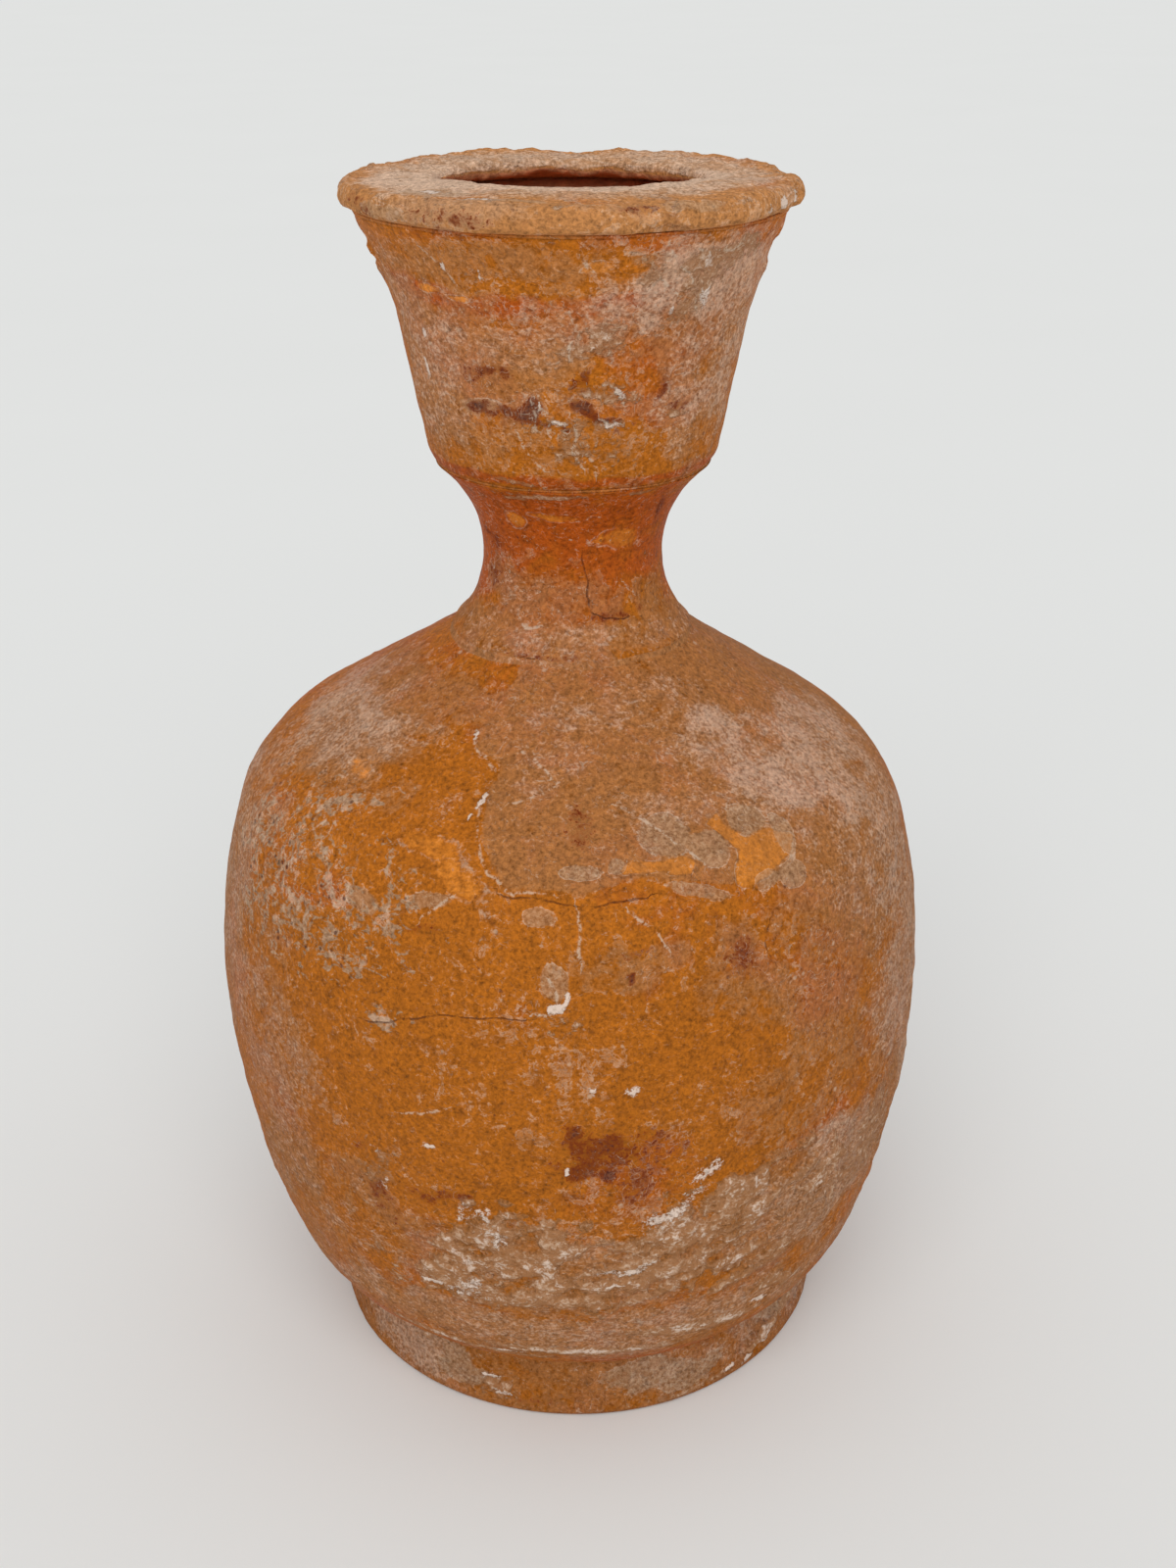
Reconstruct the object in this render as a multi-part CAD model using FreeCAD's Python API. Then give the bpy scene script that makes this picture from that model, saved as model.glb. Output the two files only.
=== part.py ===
import FreeCAD, Part

import math
import os

# A red-slipped flask: ovoid body on a ring foot, narrow neck, funnel mouth and an everted rim.
# Its parts are turned one by one on a wheel, seated in each other and joined with slip.
# The flask stands on Z = 0 around the Z axis. Sizes are in millimetres.
# An azimuth is in degrees around +Z, from the front (-Y) towards the right (+X).

# Body: a chain of arcs that run into each other, from the foot up to the shoulder.
# Each arc ends where the wall's outward direction has turned to the stated angle from level.
BELLY_RADIUS = 54.4
WALL = 4.6
BASE_ARC_RADIUS = 22.3
BASE_ARC_FROM = -54.0
BASE_ARC_TO = -18.0
LOWER_BELLY_ARC_RADIUS = 129.0
UPPER_BELLY_ARC_RADIUS = 99.0
UPPER_BELLY_ARC_TO = 15.6
SHOULDER_ARC_RADIUS = 20.8
SHOULDER_SLOPE = 32.0
FLOOR_THICKNESS = 3.9

# Shallow rings that the thrower's fingers leave inside the belly, one above the other.
THROWING_RINGS = 5
THROWING_RING_DEPTH = 0.6

# Ring foot: its lip stands round the turned base of the body.
FOOT_HEIGHT = 11.5
FOOT_INSET = 1.9
FOOT_SPLAY = 1.9
FOOT_WIDTH = 7.5
FOOT_INNER_SLOPE = 1.2
FOOT_LIP = 2.3
FOOT_EDGE_BEVEL = 1.1
FOOT_SLIP = 1.5

# Neck: a tube that hangs in the body's mouth and opens into the cup.
THROAT_RADIUS = 9.0
NECK_WALL = 4.0
COLLAR_FLARE = 4.5
COLLAR_EDGE = 0.9
COLLAR_BEVEL = 0.8
WAIST_HEIGHT = 11.4
NECK_HEIGHT = 25.5
CREASE_FLARE = 6.6
SPIGOT_WALL = 3.4
SPIGOT_LENGTH = 3.0
SPIGOT_CLEARANCE = 0.1
LIP_HEIGHT = 2.0
LIP_WALL = 1.5
NECK_SLIP = 1.4

# Mouth cup: a funnel with a step at its base.
CUP_STEP = 1.1
CUP_STEP_RISE = 2.1
CUP_WALL = 4.1
CUP_WALL_RISE = 18.8
CUP_WALL_LEAN = 3.55
CUP_FLARE_RISE = 13.1
CUP_FLARE_LEAN = 4.95
CUP_FLARE_HOLLOW = 0.3
CUP_BOWL_RISE = 4.5

# Slip between the parts: flat layers and fillets that don't quite touch what they fill.
SLIP_LAYER = 0.4
SLIP_RECESS = 0.3
SLIP_CLEARANCE = 0.05

# Rim: turned out over the cup, with its inner edge rolled into the mouth.
RIM_HEIGHT = 3.4
RIM_OVERHANG = 1.9
RIM_TOP_FALL = 1.6
RIM_EDGE_BULGE = 0.5
ROLL_REACH = 6.7
ROLL_THICKNESS = 2.3
ROLL_NOSE = 1.1
TONGUE_WIDTH = 1.6
TONGUE_HEIGHT = 1.3
TONGUE_CLEARANCE = 0.1

# Bites out of the rim's edge: azimuth, radius of the bite, depth, height below the rim's top.
RIM_CHIPS = (
    (76.0, 3.6, 1.2, 0.2),
    (104.0, 4.6, 1.0, 2.6),
    (-38.0, 6.5, 0.7, 0.6),
    (158.0, 5.0, 1.1, 0.4),
)

# Lime crust: a thin coat inside a ragged outline of corners, each an azimuth and a height.
# Heights are shares of the belly's height on the body, and of the foot's height on the foot.
CRUST_THICKNESS = 0.7
BODY_CRUST = (
    (-26, 0.50), (-20, 0.47), (-12, 0.48), (-4, 0.51), (4, 0.50), (12, 0.51),
    (18, 0.59), (20, 0.70), (27, 0.80), (24, 0.90), (16, 0.88), (10, 0.80),
    (2, 0.82), (-6, 0.88), (-14, 0.86), (-17, 0.74), (-14, 0.64), (-22, 0.62),
)
FOOT_CRUST = (
    (42, 0.36), (50, 0.26), (58, 0.32), (66, 0.34), (72, 0.50), (67, 0.70),
    (60, 0.76), (54, 0.70), (47, 0.62), (43, 0.52),
)

UP = FreeCAD.Vector(0, 0, 1)
ORIGIN = FreeCAD.Vector(0, 0, 0)


def sin(degrees):
    """Sine of an angle in degrees."""
    return math.sin(math.radians(degrees))


def cos(degrees):
    """Cosine of an angle in degrees."""
    return math.cos(math.radians(degrees))


def tan(degrees):
    """Tangent of an angle in degrees."""
    return math.tan(math.radians(degrees))


class Outline:
    """Half of a turned section, drawn from point to point at a radius and a height."""

    def __init__(self, radius, height):
        self.first = FreeCAD.Vector(radius, 0, height)
        self.last = self.first
        self.edges = []

    def line(self, radius, height):
        """Draw a straight line to a point."""
        end = FreeCAD.Vector(radius, 0, height)
        self.edges.append(Part.makeLine(self.last, end))
        self.last = end

    def through(self, middle, end):
        """Draw an arc through a middle point to an end point, each a radius and a height."""
        middle = FreeCAD.Vector(middle[0], 0, middle[1])
        end = FreeCAD.Vector(end[0], 0, end[1])
        self.edges.append(Part.Arc(self.last, middle, end).toShape())
        self.last = end

    def bulge(self, radius, height, rise):
        """Draw an arc that rises to the left of the straight way to a point."""
        end = FreeCAD.Vector(radius, 0, height)
        way = end - self.last
        side = FreeCAD.Vector(-way.z, 0, way.x).normalize()
        middle = (self.last + end) * 0.5 + side * rise
        self.edges.append(Part.Arc(self.last, middle, end).toShape())
        self.last = end

    def turned(self):
        """Close the section and turn it round the axis."""
        if not self.last.isEqual(self.first, 1e-6):
            self.edges.append(Part.makeLine(self.last, self.first))
        face = Part.Face(Part.Wire(self.edges))
        return face.revolve(ORIGIN, UP, 360)


class WallArc:
    """One arc of the body's wall."""

    def __init__(self, radius, height, size, start, end):
        self.radius = radius
        self.height = height
        self.size = size
        self.start = start
        self.end = end

    def at(self, angle, inset):
        """Radius and height of the wall where it faces an angle, moved inwards by an inset."""
        size = self.size - inset
        return (self.radius + size * cos(angle), self.height + size * sin(angle))

    def next(self, size, start, end):
        """The arc of another size that runs on from this one where both face the start angle."""
        radius = self.radius + (self.size - size) * cos(start)
        height = self.height + (self.size - size) * sin(start)
        return WallArc(radius, height, size, start, end)


def belly_height():
    """Height of the widest part of the body, from the arcs that stand on the foot."""
    base = BASE_ARC_RADIUS * (sin(BASE_ARC_TO) - sin(BASE_ARC_FROM))
    lower = LOWER_BELLY_ARC_RADIUS * -sin(BASE_ARC_TO)
    return FOOT_HEIGHT + base + lower


def wall_arcs():
    """The four arcs of the body's wall, from the foot to the shoulder."""
    centre = BELLY_RADIUS - LOWER_BELLY_ARC_RADIUS
    lower = WallArc(centre, belly_height(), LOWER_BELLY_ARC_RADIUS, BASE_ARC_TO, 0)
    base = lower.next(BASE_ARC_RADIUS, BASE_ARC_TO, BASE_ARC_TO)
    base.start = BASE_ARC_FROM
    upper = lower.next(UPPER_BELLY_ARC_RADIUS, 0, UPPER_BELLY_ARC_TO)
    shoulder = upper.next(SHOULDER_ARC_RADIUS, UPPER_BELLY_ARC_TO, 90 - SHOULDER_SLOPE)
    return base, lower, upper, shoulder


BASE_ARC, LOWER_ARC, UPPER_ARC, SHOULDER_ARC = wall_arcs()


def shoulder_height(radius, inset):
    """Height of the sloping shoulder at a radius, moved inwards by an inset."""
    start = SHOULDER_ARC.at(SHOULDER_ARC.end, inset)
    return start[1] + (start[0] - radius) * tan(SHOULDER_SLOPE)


def wall_radius(height, inset):
    """Radius of the wall at a height on one of the two belly arcs, moved inwards."""
    arc = UPPER_ARC if height > UPPER_ARC.height else LOWER_ARC
    size = arc.size - inset
    return arc.radius + math.sqrt(size ** 2 - (height - arc.height) ** 2)


BASE_RADIUS = BASE_ARC.at(BASE_ARC_FROM, 0)[0]
FLOOR_TOP = BASE_ARC.at(-90, WALL)[1]
FLOOR_BOTTOM = FLOOR_TOP - FLOOR_THICKNESS

FOOT_TOP_RADIUS = BASE_RADIUS - FOOT_INSET
FOOT_REST_RADIUS = FOOT_TOP_RADIUS + FOOT_SPLAY
FOOT_SEAT_RADIUS = FOOT_TOP_RADIUS - FOOT_LIP
FOOT_INNER_RADIUS = FOOT_REST_RADIUS - FOOT_WIDTH

SPIGOT_RADIUS = THROAT_RADIUS + SPIGOT_WALL
NECK_HOLE_RADIUS = SPIGOT_RADIUS + SPIGOT_CLEARANCE
WAIST_RADIUS = THROAT_RADIUS + NECK_WALL
COLLAR_RADIUS = WAIST_RADIUS + COLLAR_FLARE
CREASE_RADIUS = WAIST_RADIUS + CREASE_FLARE

COLLAR_BOTTOM = shoulder_height(COLLAR_RADIUS, 0)
WAIST = COLLAR_BOTTOM + WAIST_HEIGHT
NECK_TOP = COLLAR_BOTTOM + NECK_HEIGHT
CUP_BOTTOM = NECK_TOP + SLIP_LAYER
CUP_STEP_TOP = CUP_BOTTOM + CUP_STEP_RISE
CUP_WALL_TOP = CUP_STEP_TOP + CUP_WALL_RISE
CUP_TOP = CUP_WALL_TOP + CUP_FLARE_RISE
RIM_BOTTOM = CUP_TOP + SLIP_LAYER
RIM_TOP = RIM_BOTTOM + RIM_HEIGHT
LIP_TOP = NECK_TOP + LIP_HEIGHT

CUP_STEP_RADIUS = CREASE_RADIUS + CUP_STEP
CUP_WALL_RADIUS = CUP_STEP_RADIUS + CUP_WALL_LEAN
CUP_TOP_RADIUS = CUP_WALL_RADIUS + CUP_FLARE_LEAN
RIM_RADIUS = CUP_TOP_RADIUS + RIM_OVERHANG
CUP_MOUTH_RADIUS = CUP_TOP_RADIUS - CUP_WALL
ROLL_RADIUS = CUP_MOUTH_RADIUS - ROLL_REACH
TONGUE_RADIUS = CUP_MOUTH_RADIUS + (CUP_WALL - TONGUE_WIDTH) / 2


def around(radius, azimuth, height):
    """A point at a radius, an azimuth and a height."""
    return FreeCAD.Vector(radius * sin(azimuth), -radius * cos(azimuth), height)


def follow_outside(outline):
    """Draw the body's outer wall in an outline, from the foot up to the shoulder."""
    for arc in (BASE_ARC, LOWER_ARC, UPPER_ARC, SHOULDER_ARC):
        outline.through(arc.at((arc.start + arc.end) / 2, 0), arc.at(arc.end, 0))


def follow_inside(outline):
    """Draw the body's inner wall in an outline, from the shoulder down to the floor."""
    top = SHOULDER_ARC.at(SHOULDER_ARC.start, WALL)
    bottom = BASE_ARC.at(BASE_ARC.end, WALL)
    pitch = (top[1] - bottom[1]) / THROWING_RINGS
    turn = (SHOULDER_ARC.start + SHOULDER_ARC.end) / 2
    outline.through(SHOULDER_ARC.at(turn, WALL), top)
    for number in range(THROWING_RINGS):
        height = top[1] - (number + 1) * pitch
        middle = height + pitch / 2
        outline.through(
            (wall_radius(middle, WALL) + THROWING_RING_DEPTH, middle),
            (wall_radius(height, WALL), height),
        )
    corner = (BASE_ARC.end - 90) / 2
    outline.through(BASE_ARC.at(corner, WALL), BASE_ARC.at(-90, WALL))


def make_body():
    """The thrown body, with a seat for the foot below and a sloping seat for the neck above."""
    outline = Outline(0, FLOOR_BOTTOM)
    outline.line(FOOT_SEAT_RADIUS, FLOOR_BOTTOM)
    outline.line(FOOT_SEAT_RADIUS, FOOT_HEIGHT)
    outline.line(BASE_RADIUS, FOOT_HEIGHT)
    follow_outside(outline)
    outline.line(NECK_HOLE_RADIUS, shoulder_height(NECK_HOLE_RADIUS, 0))
    outline.line(NECK_HOLE_RADIUS, shoulder_height(NECK_HOLE_RADIUS, WALL))
    outline.line(*SHOULDER_ARC.at(SHOULDER_ARC.end, WALL))
    follow_inside(outline)
    outline.line(0, FLOOR_TOP)
    return outline.turned()


def foot_radius(height):
    """Outer radius of the foot at a height."""
    return FOOT_TOP_RADIUS + FOOT_SPLAY * (FOOT_HEIGHT - height) / FOOT_HEIGHT


def make_foot_ring():
    """The ring foot, with a rebate that holds the body's base."""
    outline = Outline(FOOT_INNER_RADIUS, 0)
    outline.line(FOOT_REST_RADIUS - FOOT_EDGE_BEVEL, 0)
    outline.line(foot_radius(FOOT_EDGE_BEVEL), FOOT_EDGE_BEVEL)
    outline.line(FOOT_TOP_RADIUS, FOOT_HEIGHT)
    outline.line(FOOT_SEAT_RADIUS, FOOT_HEIGHT)
    outline.line(FOOT_SEAT_RADIUS, FLOOR_BOTTOM)
    outline.line(FOOT_INNER_RADIUS - FOOT_INNER_SLOPE, FLOOR_BOTTOM)
    return outline.turned()


def make_foot_slip():
    """The fillet of slip under the body's edge, in the crease above the foot."""
    top = FOOT_HEIGHT - SLIP_CLEARANCE
    bottom = top - FOOT_SLIP
    outline = Outline(foot_radius(top) + SLIP_CLEARANCE, top)
    outline.line(foot_radius(bottom) + SLIP_CLEARANCE, bottom)
    outline.line(foot_radius(bottom) + FOOT_SLIP / 3, bottom)
    outline.bulge(BASE_RADIUS, top, FOOT_SLIP / 8)
    return outline.turned()


def waist_curve(radius, height):
    """Size of the hollow curve that leaves the waist upright and ends at a point."""
    rise = height - WAIST
    out = radius - WAIST_RADIUS
    return (rise ** 2 + out ** 2) / (2 * out)


def curve_point(size, height, inset):
    """Point of a waist curve at a height, moved inwards by an inset."""
    centre = WAIST_RADIUS + size
    return (centre - math.sqrt((size + inset) ** 2 - (height - WAIST) ** 2), height)


CREASE_CURVE = waist_curve(CREASE_RADIUS, NECK_TOP)
LIP_INNER_RADIUS = curve_point(CREASE_CURVE, LIP_TOP, NECK_WALL)[0]
LIP_OUTER_RADIUS = LIP_INNER_RADIUS + LIP_WALL


def make_neck():
    """The neck: a spigot in the body, a collar on its shoulder, a throat and a lip in the cup."""
    bottom = shoulder_height(SPIGOT_RADIUS, WALL) - SPIGOT_LENGTH / 2
    collar_top = COLLAR_BOTTOM + COLLAR_EDGE + COLLAR_BEVEL
    collar_in = COLLAR_RADIUS - COLLAR_BEVEL
    collar_curve = waist_curve(collar_in, collar_top)
    outline = Outline(THROAT_RADIUS, bottom)
    outline.line(SPIGOT_RADIUS, bottom)
    outline.line(SPIGOT_RADIUS, shoulder_height(SPIGOT_RADIUS, 0))
    outline.line(COLLAR_RADIUS, COLLAR_BOTTOM)
    outline.line(COLLAR_RADIUS, COLLAR_BOTTOM + COLLAR_EDGE)
    outline.line(collar_in, collar_top)
    outline.through(
        curve_point(collar_curve, (collar_top + WAIST) / 2, 0),
        (WAIST_RADIUS, WAIST),
    )
    outline.through(
        curve_point(CREASE_CURVE, (WAIST + NECK_TOP) / 2, 0),
        (CREASE_RADIUS, NECK_TOP),
    )
    outline.line(LIP_OUTER_RADIUS, NECK_TOP)
    outline.line(LIP_OUTER_RADIUS, LIP_TOP)
    outline.line(LIP_INNER_RADIUS, LIP_TOP)
    outline.through(
        curve_point(CREASE_CURVE, (WAIST + LIP_TOP) / 2, NECK_WALL),
        (THROAT_RADIUS, WAIST),
    )
    return outline.turned()


def make_neck_slip():
    """The fillet of slip between the collar's edge and the shoulder."""
    inner = COLLAR_RADIUS + SLIP_CLEARANCE
    outer = COLLAR_RADIUS + NECK_SLIP
    outline = Outline(inner, shoulder_height(inner, 0) + SLIP_CLEARANCE)
    outline.line(outer, shoulder_height(outer, 0) + SLIP_CLEARANCE)
    outline.line(inner, COLLAR_BOTTOM + COLLAR_EDGE)
    return outline.turned()


def make_slip_layer(inner, outer, height):
    """A flat layer of slip between two seats, a little short of the outside."""
    outline = Outline(inner, height)
    outline.line(outer - SLIP_RECESS, height)
    outline.line(outer - SLIP_RECESS, height + SLIP_LAYER)
    outline.line(inner, height + SLIP_LAYER)
    return outline.turned()


def make_cup():
    """The mouth cup: a socket for the neck's lip, a funnel and a tongue for the rim."""
    socket = LIP_OUTER_RADIUS + SPIGOT_CLEARANCE
    outline = Outline(socket, CUP_BOTTOM)
    outline.line(CREASE_RADIUS, CUP_BOTTOM)
    outline.line(CUP_STEP_RADIUS, CUP_STEP_TOP)
    outline.line(CUP_WALL_RADIUS, CUP_WALL_TOP)
    outline.bulge(CUP_TOP_RADIUS, CUP_TOP, CUP_FLARE_HOLLOW)
    outline.line(TONGUE_RADIUS + TONGUE_WIDTH, CUP_TOP)
    outline.line(TONGUE_RADIUS + TONGUE_WIDTH, RIM_BOTTOM + TONGUE_HEIGHT)
    outline.line(TONGUE_RADIUS, RIM_BOTTOM + TONGUE_HEIGHT)
    outline.line(TONGUE_RADIUS, CUP_TOP)
    outline.line(CUP_MOUTH_RADIUS, CUP_TOP)
    outline.line(CUP_WALL_RADIUS - CUP_WALL, CUP_WALL_TOP)
    outline.line(CUP_STEP_RADIUS - CUP_WALL + CUP_WALL_LEAN / 4, LIP_TOP + CUP_BOWL_RISE)
    outline.line(LIP_INNER_RADIUS, LIP_TOP)
    outline.line(socket, LIP_TOP)
    return outline.turned()


def rim_groove():
    """The groove under the rim that the cup's tongue fits."""
    outline = Outline(TONGUE_RADIUS - TONGUE_CLEARANCE, RIM_BOTTOM - SLIP_LAYER)
    outline.line(TONGUE_RADIUS + TONGUE_WIDTH + TONGUE_CLEARANCE, RIM_BOTTOM - SLIP_LAYER)
    outline.line(
        TONGUE_RADIUS + TONGUE_WIDTH + TONGUE_CLEARANCE,
        RIM_BOTTOM + TONGUE_HEIGHT + TONGUE_CLEARANCE,
    )
    outline.line(
        TONGUE_RADIUS - TONGUE_CLEARANCE,
        RIM_BOTTOM + TONGUE_HEIGHT + TONGUE_CLEARANCE,
    )
    return outline.turned()


def rim_chip(azimuth, size, depth, below):
    """A ball that bites into the rim's edge."""
    centre = around(RIM_RADIUS + size - depth, azimuth, RIM_TOP - below)
    return Part.makeSphere(size, centre)


def make_rim():
    """The everted rim, with its rolled inner edge, the groove for the cup and worn chips."""
    edge_low = RIM_BOTTOM + RIM_HEIGHT / 4
    edge_middle = RIM_BOTTOM + RIM_HEIGHT / 2
    edge_high = RIM_BOTTOM + RIM_HEIGHT * 0.75
    nose = ROLL_RADIUS + ROLL_NOSE
    outline = Outline(CUP_MOUTH_RADIUS, RIM_BOTTOM)
    outline.line(CUP_TOP_RADIUS, RIM_BOTTOM)
    outline.line(RIM_RADIUS, edge_low)
    outline.line(RIM_RADIUS + RIM_EDGE_BULGE, edge_middle)
    outline.line(RIM_RADIUS, edge_high)
    outline.line(RIM_RADIUS - RIM_TOP_FALL, RIM_TOP)
    outline.line(nose, RIM_TOP)
    outline.bulge(nose, RIM_TOP - ROLL_THICKNESS, -ROLL_NOSE)
    outline.line(CUP_MOUTH_RADIUS, RIM_BOTTOM)
    rim = outline.turned().cut(rim_groove())
    for chip in RIM_CHIPS:
        rim = rim.cut(rim_chip(*chip))
    return rim


def crust_front(corners, radius, height):
    """A block that shows a crust's outline from the front and reaches out through the wall."""
    points = []
    for azimuth, share in corners:
        points.append(FreeCAD.Vector(radius * sin(azimuth), 0, height * share))
    points.append(points[0])
    face = Part.Face(Part.makePolygon(points))
    return face.extrude(FreeCAD.Vector(0, -2 * radius, 0))


def make_body_crust():
    """Lime crust on the front of the lower belly, as a coat on the lower arc of the wall."""
    arc = LOWER_ARC
    middle = (arc.start + arc.end) / 2
    outline = Outline(*arc.at(arc.start, 0))
    outline.through(arc.at(middle, 0), arc.at(arc.end, 0))
    outline.line(*arc.at(arc.end, -CRUST_THICKNESS))
    outline.through(arc.at(middle, -CRUST_THICKNESS), arc.at(arc.start, -CRUST_THICKNESS))
    return outline.turned().common(crust_front(BODY_CRUST, BELLY_RADIUS, belly_height()))


def make_foot_crust():
    """Lime crust on the outside of the foot ring."""
    outline = Outline(foot_radius(FOOT_EDGE_BEVEL), FOOT_EDGE_BEVEL)
    outline.line(foot_radius(FOOT_EDGE_BEVEL) + CRUST_THICKNESS, FOOT_EDGE_BEVEL)
    outline.line(FOOT_TOP_RADIUS + CRUST_THICKNESS, FOOT_HEIGHT)
    outline.line(FOOT_TOP_RADIUS, FOOT_HEIGHT)
    return outline.turned().common(crust_front(FOOT_CRUST, FOOT_REST_RADIUS, FOOT_HEIGHT))


def write(name, shape):
    """Check that a piece is sound and write it to its file."""
    if not shape.isValid() or not shape.Solids:
        raise ValueError(name + " is not a sound solid")
    pieces = shape.Solids
    if len(pieces) == 1:
        shape = pieces[0]
    shape.exportStep(os.path.join("parts", name + ".step"))
    print(name, len(pieces), "solid(s)", round(shape.Volume / 1000, 2), "cm3")


def main():
    """Make every piece, from the foot up."""
    os.makedirs("parts", exist_ok=True)
    write("foot_ring", make_foot_ring())
    write("foot_slip", make_foot_slip())
    write("body", make_body())
    write("neck", make_neck())
    write("neck_slip", make_neck_slip())
    write("cup_slip", make_slip_layer(LIP_OUTER_RADIUS, CREASE_RADIUS, NECK_TOP))
    write("mouth_cup", make_cup())
    write("rim_slip", make_slip_layer(TONGUE_RADIUS + TONGUE_WIDTH, CUP_TOP_RADIUS, CUP_TOP))
    write("rim", make_rim())
    write("body_crust", make_body_crust())
    write("foot_crust", make_foot_crust())
    print("height", round(RIM_TOP, 2), "belly at", round(belly_height(), 2))
    print("rim radius", round(RIM_RADIUS, 2), "mouth radius", round(ROLL_RADIUS, 2))


main()
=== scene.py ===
"""Looks of a wheel-thrown, red-slipped ceramic flask with a funnel mouth, worn and limed.

Sizes are in millimetres unless a name says otherwise, and a finished mesh is in metres.
An azimuth is in degrees around +Z, from the front (-Y) towards the right (+X).
"""

import logging
import math
from collections.abc import Iterator
from contextlib import contextmanager
from dataclasses import dataclass
from enum import Enum

import bpy
import numpy as np
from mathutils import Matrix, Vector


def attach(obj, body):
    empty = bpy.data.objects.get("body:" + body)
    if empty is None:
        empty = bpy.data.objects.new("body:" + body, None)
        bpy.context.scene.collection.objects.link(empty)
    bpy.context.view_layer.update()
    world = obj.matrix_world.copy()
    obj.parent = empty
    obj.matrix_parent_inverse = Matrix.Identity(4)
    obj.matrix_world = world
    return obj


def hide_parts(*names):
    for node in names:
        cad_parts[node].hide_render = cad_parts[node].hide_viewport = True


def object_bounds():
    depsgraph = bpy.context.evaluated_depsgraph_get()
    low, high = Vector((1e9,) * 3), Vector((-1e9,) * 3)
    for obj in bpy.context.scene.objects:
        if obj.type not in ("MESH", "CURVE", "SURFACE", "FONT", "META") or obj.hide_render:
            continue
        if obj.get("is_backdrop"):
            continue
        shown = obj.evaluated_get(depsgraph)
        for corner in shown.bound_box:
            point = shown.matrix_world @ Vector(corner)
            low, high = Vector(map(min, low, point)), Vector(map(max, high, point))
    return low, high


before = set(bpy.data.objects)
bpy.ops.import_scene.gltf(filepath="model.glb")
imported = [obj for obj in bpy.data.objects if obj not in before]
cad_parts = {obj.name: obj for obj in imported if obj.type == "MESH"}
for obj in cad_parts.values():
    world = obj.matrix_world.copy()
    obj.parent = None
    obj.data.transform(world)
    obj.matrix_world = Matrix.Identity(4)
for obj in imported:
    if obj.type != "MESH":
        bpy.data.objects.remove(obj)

MM = 0.001
MERGED = 0.004 * MM
CAD_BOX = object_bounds()
Point = tuple[float, float]
Colour = tuple[float, float, float]
log = logging.getLogger("flask")


class Body(Enum):
    """The bodies of the frame that a piece can ride on."""

    ROOT = "root"


class Field(Enum):
    """The masks and distances that a piece's vertices carry for its finish."""

    FILM = "film"
    DUST = "dust"
    BRIGHT = "bright"
    GOLD = "gold"
    LIME = "lime"
    GREY = "grey"
    PITTED = "pitted"
    # Painted shade and light by height: darker towards the foot, paler on the cup.
    TONE = "tone"
    STAIN = "stain"
    PALE = "pale"
    # Inner walls, whose bare clay is painted paler to stand in for the light inside.
    INSIDE = "inside"
    CRACK = "crack"
    CRACK_NEAR = "crack_near"
    SCRATCH = "scratch"
    SCRATCH_NEAR = "scratch_near"


def sin(degrees: float) -> float:
    """Sine of an angle in degrees."""
    return math.sin(math.radians(degrees))


def cos(degrees: float) -> float:
    """Cosine of an angle in degrees."""
    return math.cos(math.radians(degrees))


def smooth(low: float, high: float, values: np.ndarray) -> np.ndarray:
    """Ease values from 0 at the low edge to 1 at the high edge.

    Args:
        low: Where the result starts to rise.
        high: Where the result reaches 1.
        values: The numbers to ease.

    Returns:
        The eased numbers.
    """
    share = np.clip((values - low) / (high - low), 0.0, 1.0)
    return share * share * (3.0 - 2.0 * share)


@dataclass(frozen=True)
class Grain:
    """Seeded smooth noise on a cubic lattice, for arrays of points."""

    seed: int

    axis_primes = (73856093, 19349663, 83492791)
    seed_prime = 2654435761
    first_mix = 2246822519
    second_mix = 3266489917
    whole = 0xFFFFFFFF
    half = 0xFFFF
    seed_step = 17.31
    fading = 0.55

    def corner(self, cells: np.ndarray, step: tuple[int, int, int]) -> np.ndarray:
        """Random number from -1 to 1 at one corner of each cell.

        Args:
            cells: Whole lattice coordinates, one row each.
            step: Which corner of the cell is meant.

        Returns:
            One number for each row.
        """
        key = self.seed * self.seed_prime
        for axis, prime in enumerate(self.axis_primes):
            key = key ^ ((cells[:, axis] + step[axis]) * prime)
        key = key & self.whole
        key = ((key ^ (key >> 15)) * self.first_mix) & self.whole
        key = ((key ^ (key >> 13)) * self.second_mix) & self.whole
        return ((key ^ (key >> 16)) & self.half) / (self.half / 2) - 1.0

    def at(self, points: np.ndarray, size: float) -> np.ndarray:
        """Noise from -1 to 1 with lumps of a size.

        Args:
            points: Points, one row each.
            size: Width of a lattice cell, in the points' unit.

        Returns:
            One number for each point.
        """
        scaled = points / size + self.seed * self.seed_step
        cells = np.floor(scaled).astype(np.int64)
        part = scaled - cells
        ease = part * part * part * (part * (part * 6.0 - 15.0) + 10.0)
        total = np.zeros(len(points))
        for step in np.ndindex(2, 2, 2):
            weight = np.ones(len(points))
            for axis, side in enumerate(step):
                weight *= ease[:, axis] if side else 1.0 - ease[:, axis]
            total += weight * self.corner(cells, step)
        return total

    def layered(self, points: np.ndarray, size: float, layers: int) -> np.ndarray:
        """Noise with finer layers added, each half as wide and about half as strong.

        Args:
            points: Points, one row each.
            size: Width of the widest layer's cells.
            layers: How many layers are added.

        Returns:
            One number for each point, mostly from -1 to 1.
        """
        total = np.zeros(len(points))
        for layer in range(layers):
            turned = points[:, [layer % 3, (layer + 1) % 3, (layer + 2) % 3]]
            total += self.at(turned, size / 2**layer) * self.fading**layer
        return total


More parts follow.
